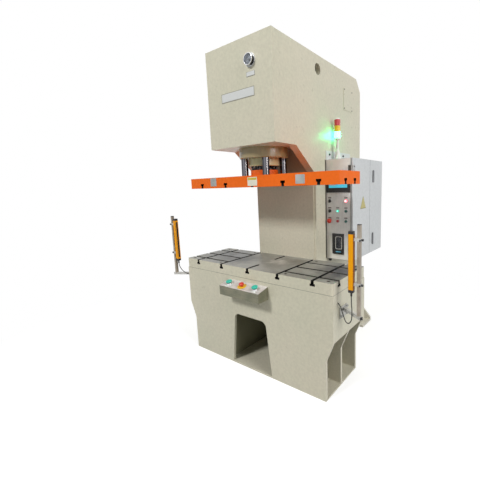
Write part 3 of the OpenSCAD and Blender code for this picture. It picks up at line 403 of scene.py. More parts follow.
    lenses = (
        # Polycarbonate over a lamp: bright in the middle, deeper at the rim
        ("screen", "lit_display", "#3FA9C4", "#4CC4E0", 0.55),
        ("lamp_red", "lit_red_lamp_centre", "#FFB0A8", "#FF9898", 9.0),
        ("lamp_red_rim", "lit_red_lamp_rim", "#F06068", "#FF4058", 3.0),
        ("lamp_green", "lit_green_lamp_centre", "#7DFFD0", "#80FFE0", 1.6),
        ("lamp_green_rim", "lit_green_lamp_rim", "#28B890", "#20C090", 0.6),
        # Ribbed tower lenses: the green one is lit; the others are unlit and glow faintly, a
        # painted light
        ("lens_green", "lit_green_tower_lens", "#A8FFDC", "#26FF96", 30.0, axis),
        ("lens_amber", "amber_tower_lens", "#E9C81E", "#E9B000", 0.12, axis),
        ("lens_red", "red_tower_lens", "#D0454C", "#C02030", 0.1, axis),
    )
    panes = (
        # The glass nearly vanishes; the lid's dark tint dims what lies behind it, a painted shade
        # of the socket box's inside
        ("glass", "gauge_glass", "#DDE4EA", 0.08),
        ("lid", "clear_polycarbonate", "#3E4048", 0.45),
    )
    for maker, rows in (
        (sprayed_enamel, enamels), (ground_steel, steels), (plated, platings),
        (moulded, mouldings), (lit_lens, lenses), (clear_pane, panes),
    ):
        for key, *look in rows:
            COATS[key] = maker(*look)


def paint(node, coat, *patches):
    """Gives a CAD node its finish; a patch is a finish and a test on face centres and normals."""
    mesh = NODES[node].data
    mesh.materials.clear()
    mesh.materials.append(COATS[coat])
    if not patches:
        return
    count = len(mesh.polygons)
    centres, normals = np.zeros(count * 3), np.zeros(count * 3)
    mesh.polygons.foreach_get("center", centres)
    mesh.polygons.foreach_get("normal", normals)
    centres, normals = (Axes(*v.reshape(-1, 3).T) for v in (centres, normals))
    index = np.zeros(count, dtype=np.int32)
    for place, (finish, test) in enumerate(patches, 1):
        mesh.materials.append(COATS[finish])
        index[test(centres, normals)] = place
    mesh.polygons.foreach_set("material_index", index)


# Mesh makers


def outline(width, height, radius, w=0.0, shift=(0, 0)):
    """Corner-rounded rectangle, anticlockwise, at height w."""
    radius = max(radius, 1e-5)
    points = []
    steps = 5
    for quarter, (sx, sy) in enumerate(((1, 1), (-1, 1), (-1, -1), (1, -1))):
        cx, cy = sx * (width / 2 - radius), sy * (height / 2 - radius)
        for step in range(steps + 1):
            angle = math.pi / 2 * (quarter + step / steps)
            points.append((cx + radius * math.cos(angle) + shift[0],
                           cy + radius * math.sin(angle) + shift[1], w))
    return points


def stack(mesh, rings, place, closed=False):
    """Joins rings of points (u, v, w) into a skin with two caps, or closed on itself."""
    made = [[mesh.verts.new(place @ Vector(point)) for point in ring] for ring in rings]
    for a, b in zip(made, made[1:] + (made[:1] if closed else [])):
        for i in range(len(a)):
            k = (i + 1) % len(a)
            mesh.faces.new((a[i], a[k], b[k], b[i]))
    if not closed:
        mesh.faces.new(list(reversed(made[0])))
        mesh.faces.new(made[-1])


def facing(origin, out, up=UP):
    """Matrix whose w axis points out, with v as near as possible to up."""
    w, v = Vector(out).normalized(), Vector(up)
    if abs(w.dot(v)) > 0.99:
        v = Vector((0, 1, 0))
    u = v.cross(w).normalized()
    matrix = Matrix((u, w.cross(u), w)).transposed().to_4x4()
    matrix.translation = Vector(origin)
    return matrix


def soften(data, degrees):
    """Smooth faces with sharp edges kept where the fold is steeper than the angle."""
    data.polygons.foreach_set("use_smooth", [True] * len(data.polygons))
    data.set_sharp_from_angle(angle=math.radians(degrees))


def linked(name, data):
    """A new object in the scene."""
    made = bpy.data.objects.new(name, data)
    bpy.context.scene.collection.objects.link(made)
    return made


def piece(name, body, build, coat):
    """One mesh object in the shared frame, made by build(mesh), which rides on body."""
    mesh = bmesh.new()
    build(mesh)
    bmesh.ops.recalc_face_normals(mesh, faces=mesh.faces)
    data = bpy.data.meshes.new(name)
    mesh.to_mesh(data)
    mesh.free()
    data.materials.append(COATS[coat])
    made = linked(name, data)
    soften(data, 35)
    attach(made, body)
    return made


def slabs(name, body, coat, *rows):
    """Rounded plates with chamfered rims: place, width, height, radius, thickness, chamfer."""

    def build(mesh):
        for place, width, height, radius, thick, edge in rows:
            stack(mesh, (
                outline(width, height, radius), outline(width, height, radius, thick - edge),
                outline(width - 2 * edge, height - 2 * edge, radius - edge, thick),
            ), place)

    return piece(name, body, build, coat)


def turned(name, body, coat, places, profile, sides=48, closed=False):
    """Turned forms, or turned rings if closed: the profile is (radius, height) points."""
    turns = [2 * math.pi * k / sides for k in range(sides)]
    rings = [[(r * math.cos(t), r * math.sin(t), h) for t in turns] for r, h in profile]

    def build(mesh):
        for place in places:
            stack(mesh, rings, place, closed)

    return piece(name, body, build, coat)


# Geometry Nodes


def new_tree(name, *sockets):
    """A tree with named inputs, a finish and one geometry output; gives its inputs too."""
    tree = bpy.data.node_groups.new(name, "GeometryNodeTree")
    for label, kind, *default in (*sockets, ("Finish", "Material")):
        made = tree.interface.new_socket(label, in_out="INPUT", socket_type="NodeSocket" + kind)
        if default:
            made.default_value = default[0]
    tree.interface.new_socket("Geometry", in_out="OUTPUT", socket_type="NodeSocketGeometry")
    return tree, add(tree, "NodeGroupInput")


def end_tree(tree, given, inputs):
    """Ends a tree with instances on points, made real, in their finish."""
    placed = add(tree, "GeometryNodeInstanceOnPoints", inputs)[0]
    real = add(tree, "GeometryNodeRealizeInstances", {"Geometry": placed})[0]
    done = add(tree, "GeometryNodeSetMaterial", {"Geometry": real, "Material": given["Finish"]})[0]
    add(tree, "NodeGroupOutput", {"Geometry": done})
    return tree


def screw_tree():
    """Sets a socket screw on every point, along the point's own direction."""
    tree, given = new_tree(
        "socket_screws", ("Points", "Geometry"), ("Head Diameter", "Float", 0.012),
        ("Head Height", "Float", 0.008), ("Sides", "Int", 20), ("Socket Share", "Float", 0.5),
    )
    # Half the head's diameter, half its height, and a socket just over half as deep as it
    radius, half, depth = (
        add(tree, "ShaderNodeMath", (given[label], by), operation="MULTIPLY")[0]
        for label, by in (("Head Diameter", 0.5), ("Head Height", 0.5), ("Head Height", -0.55))
    )
    head = add(tree, "GeometryNodeMeshCylinder", {
        "Vertices": given["Sides"], "Radius": radius, "Depth": given["Head Height"],
    }, fill_type="NGON")
    rim = add(tree, "GeometryNodeExtrudeMesh", {
        "Mesh": head["Mesh"], "Selection": head["Top"], "Offset Scale": 0.0,
    }, mode="FACES")
    inset = add(tree, "GeometryNodeScaleElements", {
        "Geometry": rim["Mesh"], "Selection": rim["Top"], "Scale": given["Socket Share"],
    })
    socket = add(tree, "GeometryNodeExtrudeMesh", {
        "Mesh": inset["Geometry"], "Selection": rim["Top"], "Offset Scale": depth,
    }, mode="FACES")
    lift = add(tree, "ShaderNodeCombineXYZ", {"Z": half})[0]
    raised = add(tree, "GeometryNodeTransform", {"Geometry": socket["Mesh"], "Translation": lift})
    way = add(tree, "GeometryNodeInputNamedAttribute", {"Name": "way"}, data_type="FLOAT_VECTOR")
    turn = add(tree, "FunctionNodeAlignEulerToVector", {"Vector": way["Attribute"]}, axis="Z")
    dots = add(tree, "GeometryNodeMeshToPoints", {"Mesh": given["Points"]})
    return end_tree(tree, given, {"Points": dots[0], "Instance": raised[0], "Rotation": turn[0]})


def bead_tree():
    """Lays a row of overlapping ripples along each edge, as a weld bead."""
    tree, given = new_tree("weld_beads", ("Path", "Geometry"), ("Ripple Pitch", "Float", 0.006),
                           ("Bead Radius", "Float", 0.005))
    line = add(tree, "GeometryNodeMeshToCurve", {"Mesh": given["Path"]})[0]
    spaced = add(tree, "GeometryNodeResampleCurve",
                 {"Curve": line, "Length": given["Ripple Pitch"]}, mode="LENGTH")
    ripple = add(tree, "GeometryNodeMeshUVSphere",
                 {"Segments": 8, "Rings": 5, "Radius": given["Bead Radius"]})
    return end_tree(tree, given, {"Points": spaced[0], "Instance": ripple["Mesh"]})


def tick_tree():
    """Sets a bar on every point of an arc, turned towards the arc's centre."""
    tree, given = new_tree(
        "dial_ticks", ("Ignored", "Geometry"), ("Count", "Int", 41), ("Radius", "Float", 0.03),
        ("Length", "Float", 0.004), ("Width", "Float", 0.0006),
    )
    arc = add(tree, "GeometryNodeCurveArc", {
        "Resolution": given["Count"], "Radius": given["Radius"],
        "Start Angle": math.radians(-45), "Sweep Angle": math.radians(270),
    }, mode="RADIUS")
    size = add(tree, "ShaderNodeCombineXYZ",
               {"X": given["Length"], "Y": given["Width"], "Z": 0.0003})[0]
    bar = add(tree, "GeometryNodeMeshCube", {"Size": size})
    along = add(tree, "GeometryNodeInputPosition")[0]
    turn = add(tree, "FunctionNodeAlignEulerToVector", {"Vector": along}, axis="X")
    return end_tree(tree, given,
                    {"Points": arc["Curve"], "Instance": bar["Mesh"], "Rotation": turn[0]})


def plain_mesh(holder, name):
    """An object's evaluated shape as a plain mesh; the object goes."""
    graph = bpy.context.evaluated_depsgraph_get()
    data = bpy.data.meshes.new_from_object(holder.evaluated_get(graph))
    data.name = name
    holder.modifiers.clear()
    bpy.data.objects.remove(holder)
    return data


def grown(name, body, tree, source, settings, place=Matrix.Identity(4), smooth=30):
    """Runs a node tree on a source mesh and keeps the result as a plain mesh on body."""
    holder = linked(name + "_source", source)
    modifier = holder.modifiers.new("grow", "NODES")
    modifier.node_group = tree
    for item in tree.interface.items_tree:
        if item.name in settings:
            modifier[item.identifier] = settings[item.name]
    holder.update_tag()
    data = plain_mesh(holder, name)
    data.transform(place)
    made = linked(name, data)
    soften(data, smooth)
    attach(made, body)


def screws(name, body, places, diameter, height, coat, sides=20, share=0.5):
    """Socket screws at (point, direction) places, all in one mesh."""
    data = bpy.data.meshes.new(name + "_points")
    data.from_pydata([p for p, _ in places], [], [])
    ways = data.attributes.new("way", "FLOAT_VECTOR", "POINT")
    ways.data.foreach_set("vector", [c for _, way in places for c in way])
    grown(name, body, bpy.data.node_groups["socket_screws"], data, {
        "Head Diameter": diameter, "Head Height": height, "Sides": sides,
        "Socket Share": share, "Finish": COATS[coat],
    })


def ring(centre, radius, degrees, way=UP):
    """Places round a circle that lies square to way: up, down or to the front."""
    x, y, z = centre
    flat = abs(way[2])
    turns = [(radius * math.cos(a), radius * math.sin(a)) for a in map(math.radians, degrees)]
    return [((x + c, y + s * flat, z + s * (1 - flat)), way) for c, s in turns]


# Sizes and colours


def hue(name, description, code):
    return bpy.props.FloatVectorProperty(
        name=name, description=description, subtype="COLOR", size=3, min=0, max=1,
        default=linear(code),
    )


def length(name, description, default, least, most):
    return bpy.props.FloatProperty(
        name=name, description=description, subtype="DISTANCE", unit="LENGTH",
        default=default, min=least, max=most,
    )


class PressHues(bpy.types.PropertyGroup):
    """Paint colours of the press."""

    cream: hue("Frame cream", "Enamel of the head and column", "#D2CCB9")
    cool_cream: hue("Base cream", "Tone that the enamel drifts to", "#CCC9B5")
    orange: hue("Ram orange", "Enamel of the ram plate and boss", "#F87018")
    cabinet: hue("Cabinet grey", "Powder coat of the electrical cabinet", "#D2D5D8")


class PressSizes(bpy.types.PropertyGroup):
    """Sizes of the small fittings."""

    cable_diameter: length(
        "Cable diameter", "Outside diameter of the light-curtain cables", 0.006, 0.004, 0.01)
    bolt_diameter: length(
        "Boss screw head", "Head diameter of the screws that hold the boss", 0.018, 0.01, 0.022)
    bead_radius: length(
        "Weld bead radius", "Half width of the fillet welds", 0.005, 0.002, 0.008)
    plate_thickness: length(
        "Plate thickness", "Thickness of the bare plates and labels", 0.0012, 0.0004, 0.003)


def sizes():
    return bpy.context.scene.press_sizes


def looked_at(tree):
    """1 for a ray that the eye sees directly, in a mirror or through glass, else 0."""
    path = add(tree, "ShaderNodeLightPath")
    seen = path["Is Camera Ray"]
    for ray in ("Is Glossy Ray", "Is Transmission Ray"):
        seen = add(tree, "ShaderNodeMath", (seen, path[ray]), operation="MAXIMUM")[0]
    return seen


class PRESS_OT_stage(bpy.types.Operator):
    """Camera, lamps, floor and background"""

    bl_idname = "press.stage"
    bl_label = "Stage"

    def execute(self, context):
        scene = context.scene
        # The lens and the camera's place and axes were fitted to edges in the photo
        lens = bpy.data.cameras.new("camera")
        lens.sensor_width, lens.lens, lens.clip_end = 36, 22.885, 60
        lens.shift_x, lens.shift_y = -0.1031, -0.01164
        camera = linked("camera", lens)
        right = Vector((0.8078201, 0.5887008, -0.0292925))
        down = Vector((0.0675091, -0.1417772, -0.9875939))
        ahead = Vector((-0.5855504, 0.7958207, -0.1542731))
        turn = Matrix((right, -down, -ahead)).transposed()
        camera.matrix_world = Matrix.Translation((1.529867, -1.785905, 1.373320)) @ turn.to_4x4()
        scene.camera = camera
        for name, place, target, size, power in (
            ("main_lamp", (-1.9, -8.2, 7.9), (0, 0, 1.1), 1.9, 695),
            ("side_lamp", (9.2, -1.1, 4.7), (0.2, 0.3, 1.2), 4.2, 375),
            ("high_lamp", (5.0, -0.9, 7.6), (0.2, 0.3, 0.9), 2.4, 190),
            ("top_lamp", (0.4, 0.2, 6.6), (0, 0.2, 1.0), 3.0, 60),
            ("back_lamp", (-2.4, 9.4, 4.2), (0, 0.6, 1.1), 3.6, 240),
        ):
            light = bpy.data.lights.new(name, "AREA")
            light.shape, light.size, light.energy = "SQUARE", size, power
            aim = (Vector(target) - Vector(place)).to_track_quat("-Z", "Y")
            linked(name, light).matrix_world = Matrix.Translation(place) @ aim.to_matrix().to_4x4()
        self.background(scene)
        self.floor()
        scene.view_settings.view_transform = "Standard"
        return {"FINISHED"}

    def background(self, scene):
        """White where it is looked at, a faint fill light elsewhere."""
        world = bpy.data.worlds.new("studio")
        world.use_nodes = True
        tree = world.node_tree
        tree.nodes.clear()
        fill = add(tree, "ShaderNodeBackground", ((0.98, 1, 0.88, 1), 0.17))[0]
        white = add(tree, "ShaderNodeBackground", ((1, 1, 1, 1), 1.0))[0]
        mixed = add(tree, "ShaderNodeMixShader", (looked_at(tree), fill, white))[0]
        add(tree, "ShaderNodeOutputWorld", {"Surface": mixed})
        scene.world = world

    def floor(self):
        """Matt floor that turns plain white beyond the shadow, so that no horizon shows."""
        mesh = bpy.data.meshes.new("floor")
        side = 30
        corners = [(-side, -side, 0), (side, -side, 0), (side, side, 0), (-side, side, 0)]
        mesh.from_pydata(corners, [], [(0, 1, 2, 3)])
        material, tree = new_material("studio_floor")
        tone = add(tree, "ShaderNodeMix", {
            0: pattern(tree, 900), 6: (0.40, 0.40, 0.39, 1), 7: (0.44, 0.44, 0.43, 1),
        }, data_type="RGBA")[2]
        matt = add(tree, "ShaderNodeBsdfDiffuse", {"Color": tone})[0]
        lift = add(tree, "ShaderNodeEmission", ((1, 1, 1, 1), 0.7))[0]
        white = add(tree, "ShaderNodeEmission", ((1, 1, 1, 1), 1.0))[0]
        near = add(tree, "ShaderNodeAddShader", (matt, lift))[0]
        away = add(tree, "ShaderNodeVectorMath", (measured(tree),), operation="LENGTH")["Value"]
        edge = add(tree, "ShaderNodeMapRange", (away, 1.4, 2.6, 0, 1))[0]
        both = add(tree, "ShaderNodeMixShader", (edge, near, white))[0]
        shown = add(tree, "ShaderNodeMixShader", (looked_at(tree), matt, both))[0]
        add(tree, "ShaderNodeOutputMaterial", {"Surface": shown})
        mesh.materials.append(material)
        linked("floor", mesh)


class PRESS_OT_paint(bpy.types.Operator):
    """Finishes of every solid of the press"""

    bl_idname = "press.paint"
    bl_label = "Paint solids"

    def execute(self, context):
        make_coats(context.scene.press_hues)
        for coat, *nodes in (
            ("cream", "head_front_plate", "head_top_plate", "cylinder_seat_plate",
             "throat_plate", "rear_plate", "cylinder_barrel"),
            ("cool_cream", "base_front_plate", "base_webs", "side_skirts"),
            ("boss", "ram_boss"), ("bronze", "guide_bushes"), ("tank", "oil_tank"),
            ("motor", "electric_motor"), ("iron", "hydraulic_pump"),
            ("milled", "pump_coupling", "valve_block", "pressure_pipe"),
            ("ink", "gauge_needle"), ("glass", "gauge_glass"), ("cabinet", "cabinet_door"),
            ("zinc", "door_hinges", "hinge_leaves"),
            ("black", "selector_upper", "selector_lower", "touch_screen"),
            ("dark_green", "button_green_upper", "button_green_lower"),
            ("dark_red", "button_red"), ("red", "panel_stop", "console_stop"),
            ("teal", "hand_button_left", "hand_button_right"),
            ("lid", "socket_lid"), ("tower_white", "tower_stand"),
            ("lens_green", "tower_green"), ("lens_amber", "tower_amber"),
            ("rubber", "cable_left", "cable_right"),
        ):
            for node in nodes:
                paint(node, coat)
        self.paint_frame()
        self.paint_table()
        self.paint_ram()
        self.paint_cabinet()
        self.paint_devices()
        self.paint_gauge()
        self.paint_console()
        paint("curtain_stands", "stand", ("clamp", self.clamp_faces))
        paint("light_curtains", "curtain",
              ("curtain_side", lambda c, n: n.x * np.sign(c.x) > 0.7),
              ("black", self.curtain_ends))
        return {"FINISHED"}

    def paint_frame(self):
        """Inside faces darkened as painted shade, paler feet as painted light, and the screws of
        both covers.
        """
        inner = abs(high("side_plate_left").x) + INSIDE
        for node in ("side_plate_left", "side_plate_right"):
            paint(node, "cream", ("primer", lambda c, n: (abs(c.x) < inner) & (abs(n.x) > 0.5)))
        outer, rear = high("side_plate_right").x + 0.001, high("floor_plate").y - 0.25
        paint("floor_plate", "cool_cream",
              ("foot", lambda c, n: (c.y > rear) & (abs(c.x) > outer)))
        cover, side = high("rear_cover").y, high("access_cover").x
        paint("rear_cover", "cream", ("zinc", lambda c, n: c.y > cover - 0.0039))
        paint("access_cover", "cream", ("black_steel", lambda c, n: c.x > side - 0.0029))

    def paint_table(self):
        """Ground top, and slot walls darkened as painted shade; the cross slots are a paler
        painted shade.
        """
        a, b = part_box("work_table")
        corner, reach = 0.007, 0.0071

        def slot(c, n):
            rounded = ((abs(abs(c.x) - (b.x - corner)) < reach) & (n.z < 0.5)
                       & ((c.y < a.y + corner + reach) | (c.y > b.y - corner - reach)))
            return (within(c.z, a.z + 0.001, b.z - INSIDE) & ~rounded
                    & within(c.x, a.x + JUST_INSIDE, b.x - JUST_INSIDE)
                    & within(c.y, a.y + JUST_INSIDE, b.y - JUST_INSIDE))

        def cross_slot(c, n):
            near = np.zeros(len(c.x), dtype=bool)
            for row in CROSS_ROWS:
                near |= abs(c.y - (a.y + row)) < HALF_SLOT
            for x in SLOT_XS:
                near &= abs(c.x - x) > HALF_SLOT
            return (near & within(c.z, a.z + 0.02, b.z - INSIDE)
                    & within(abs(c.x), 0.27, b.x - JUST_INSIDE))

        paint("work_table", "cool_cream",
              ("table", lambda c, n: (c.z > b.z - INSIDE) & (n.z > 0.5)),
              ("slot", slot), ("cross_slot", cross_slot))

    def paint_ram(self):
        """Slot walls under the ram plate darkened as painted shade, a lighter coat on the gland as
        painted light, and painted reflections on the chrome.
        """
        a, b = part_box("ram_plate")
        paint("ram_plate", "orange", ("slot", lambda c, n: (
            within(c.z, a.z + INSIDE, b.z - 0.001)
            & (abs(c.x) < b.x - JUST_INSIDE) & (abs(c.y) < b.y - JUST_INSIDE))))
        neck = high("guide_flange").z - 0.075
        paint("guide_flange", "flange", ("gland", lambda c, n: c.z < neck))
        foot = low("piston").z + 0.0145
        paint("piston", "chrome", ("black_steel", lambda c, n: c.z < foot))

        def turned_to(n, heading, spread):
            """Upright faces towards a heading in degrees, or straight away from it."""
            turn = np.degrees(np.arctan2(n.y, n.x)) - heading
            return (abs((turn + 90) % 180 - 90) < spread) & (abs(n.z) < 0.5)

        # Painted reflections on the rods: a sheen and a bright band on faces turned to given
        # headings
        paint("guide_rods", "chrome",
              ("chrome_sheen", lambda c, n: turned_to(n, -66, 13)),
              ("chrome_band", lambda c, n: turned_to(n, -27, 6.5)))

    def paint_cabinet(self):
        """Mounting strip, locks, sockets, panel, lamps and the tower's cap."""
        lintel = low("cabinet_box").z + CABINET_HEIGHT + INSIDE
        paint("cabinet_box", "cabinet",
              ("pale_plate", lambda c, n: (c.z > lintel) & (c.x < 0.305)))
        for node in ("lock_upper", "lock_lower"):
            paint(node, "lock_side", ("lock_face", lambda c, n: n.x > 0.9))
        recess = high("socket_frame").y - 0.02
        paint("socket_frame", "black", ("device", lambda c, n: (
            within(c.y, recess - 0.003, recess + 0.012) & (n.y < -0.5))))
        face = low("operator_panel").y
        paint("operator_panel", "panel", ("zinc", lambda c, n: c.y < face + 0.0029))
        split, front = middle("panel_lamps").x, low("panel_lamps").y + 0.0085
        paint("panel_lamps", "white",
              ("lamp_red_rim", lambda c, n: (c.x > split) & (c.y < front)),
              ("lamp_green_rim", lambda c, n: (c.x < split) & (c.y < front)))
        cap = high("tower_red").z - 0.0085
        paint("tower_red", "lens_red", ("tower_white", lambda c, n: c.z > cap))

    def paint_devices(self):
        """Rails, contactors, controller, breakers and transformer on the mounting plate."""
        a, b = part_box("device_plate")
        proud = a.x + 0.0165

        def block(y0, y1, z0, z1):
            return lambda c, n: (c.x > proud) & within(c.y, y0, y1) & within(c.z, z0, z1)

        # The rails lie 0.2 m apart, one of them at this height
        rail_z, rail_pitch = 0.9445, 0.2
        paint("device_plate", "plate",
              ("zinc", block(a.y, b.y, a.z, b.z)),
              ("black_steel", block(a.y, b.y, 1.1165, 1.1975)),
              ("tank", block(a.y, 0.699, 1.2965, 1.3975)),
              ("white", block(0.737, b.y, 1.3065, 1.3925)),
              ("iron", block(a.y, 0.649, 0.8665, 0.9775)),
              ("zinc", lambda c, n: within(c.x, a.x + 0.0152, a.x + 0.0235) & (
                  abs((c.z - rail_z + rail_pitch / 2) % rail_pitch - rail_pitch / 2) < 0.0185)))

    def paint_gauge(self):
        """Pale flange and a polished case, with painted reflections: dark on the case's lower
        right, pale on the flange.
        """
        front, centre = low("gauge_case").y, middle("gauge_case")

        def radius(c):
            return np.hypot(c.x - centre.x, c.z - centre.z)

        # Painted reflections: dark on the case's lower right side, pale on the flange's front
        paint("gauge_case", "bright",
              ("chrome", lambda c, n: (abs(n.y) < 0.5) & within(radius(c), 0.033, 0.0375)
               & within(np.degrees(np.arctan2(n.z, n.x)), -72, 18)),
              ("pale_plate", lambda c, n: (n.y < -0.5) & (radius(c) > 0.0365)),
              ("white", lambda c, n: (n.y < -0.9) & (c.y > front + 0.012) & (radius(c) < 0.031)))

    def paint_console(self):
        """Brushed box with a lighter top as painted light from above, silver collars and a yellow
        disc round the stop button.
        """
        front = low("console_box").y

        def proud(c):
            """Faces that stand above the sloping lid."""
            return ((c.z - CONSOLE_EDGE_Z) * math.cos(CONSOLE_TILT)
                    - (c.y - front) * math.sin(CONSOLE_TILT)) > 0.0003

        paint("console_box", "console",
              ("console_top", lambda c, n: n.z > 0.6),
              ("bright", lambda c, n: proud(c) & (abs(c.x) > 0.05)),
              ("yellow", lambda c, n: proud(c) & (abs(c.x) < 0.05)))

    def clamp_faces(self, c, n):
        """Faces of the bright clamps and of the wall brackets."""
        near = abs(c.x) < 0.7095
        for side, arm, clamp_zs, _, _ in CURTAINS:
            for z, reach in ((arm, 0.0105), *((z, 0.0125) for z in clamp_zs)):
                near |= (c.x * side > 0) & (abs(c.z - z) < reach)
        return near

    def curtain_ends(self, c, n):
        """Caps and glands of both curtains, and their dark front windows."""
        bottom = np.where(c.x < 0, 0.785, 0.766)
        window = abs(abs(c.x) - 0.781) < 0.0009
        window |= (abs(abs(c.x) - 0.780) < 0.0015) & (abs(n.x) < 0.5)
        return (c.z > bottom + 0.330) | (c.z < bottom) | window


class PRESS_OT_screws(bpy.types.Operator):
    """Socket screws and bolts of the frame, ram, cabinet and curtains"""

    bl_idname = "press.screws"
    bl_label = "Screws"

    def execute(self, context):
        screw_tree()
        self.ram_screws()
        self.cabinet_screws()
        self.curtain_screws()
        return {"FINISHED"}

    def ram_screws(self):
        """Screws of the boss, the piston's foot, the flange, the gland and the gauge."""
        top = high("ram_boss").z
        eight = [22.5 + 45 * i for i in range(8)]
        pairs = [90 * i + d for i in range(4) for d in (-14, 14)]
        twelve = [30 * i for i in range(12)]
        screws("boss_screws", "ram", ring((0, 0, top), 0.0905, eight), sizes().bolt_diameter,
               0.014, "black_steel")
        screws("rod_foot_screws", "ram", ring((0, 0, top + 0.014), 0.066, eight), 0.014, 0.010,
               "black_steel")
        screws("flange_screws", "frame", ring((0, 0, 1.582), 0.160, pairs, DOWN), 0.022, 0.005,
               "flange")
        screws("gland_screws", "frame",
               ring((0, 0, low("guide_flange").z), 0.092, twelve, DOWN), 0.016, 0.010,
               "black_steel")
        gauge, wall = middle("gauge_case"), high("gauge_case").y - 0.004
        screws("gauge_screws", "frame",
               ring((gauge.x, wall, gauge.z), 0.0395, (90, 210, 330), FRONT), 0.0045, 0.0016,
               "zinc", 12, 0.4)

    def cabinet_screws(self):
        """Screws of the cabinet's strip, hinges and socket box, and of the tower's foot."""
        a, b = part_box("cabinet_box")
        bolts = [((a.x + 0.003, y, b.z - 0.028), RIGHT) for y in (0.456, 0.699)]
        screws("cabinet_bolts", "frame", bolts, 0.016, 0.008, "black_steel", 6, 0.3)
        heights = [z + dz for z in HINGE_ZS for dz in (-0.018, 0.018)]
        for name, body, x, y, way in (("hinge_screws", "frame", 0.510, 0.396, FRONT),
                                      ("leaf_screws", "door", 0.535, 0.428, RIGHT)):
            places = [((x, y, z), way) for z in heights]
            screws(name, body, places, 0.010, 0.0025, "black_steel", 16, 0.4)
        a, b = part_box("socket_frame")
        corners = [((x, a.y, z), FRONT)
                   for x in (a.x + 0.005, b.x - 0.005) for z in (a.z + 0.005, b.z - 0.022)]
        screws("socket_screws", "frame", corners, 0.005, 0.0015, "zinc", 12, 0.4)
        tower, foot = middle("tower_stand"), low("tower_stand").z + 0.008
        turns = [math.degrees(a) for a in (0.5, 2.6, 4.7)]
        screws("tower_screws", "frame",
               ring((tower.x, tower.y, foot - 0.0002), 0.0245, turns), 0.005, 0.002, "zinc",
               12, 0.4)

    def curtain_screws(self):
        """Bolts of the wall brackets, and screws and knobs of the clamps."""
        stands, knobs, clamps = [], [], []
        for side, arm, clamp_zs, post_y, shift in CURTAINS:
            root = post_y + 0.0825 + shift
            stands += [((side * 0.708, root + dy, arm + dz), (side, 0, 0))
                       for dy in (0.014, 0.086) for dz in (-0.038, 0.010)]
            for z in clamp_zs:
                clamps.append(((side * 0.850, post_y - 0.013, z - 0.003), FRONT))
                knobs.append(((side * 0.856, post_y - 0.004, z), (side, 0, 0)))
        screws("stand_bolts", "frame", stands, 0.016, 0.010, "zinc", 24, 0.45)
        screws("clamp_screws", "frame", clamps, 0.010, 0.007, "black_steel", 20, 0.5)
        screws("clamp_knobs", "frame", knobs, 0.014, 0.010, "black", 20, 0.3)


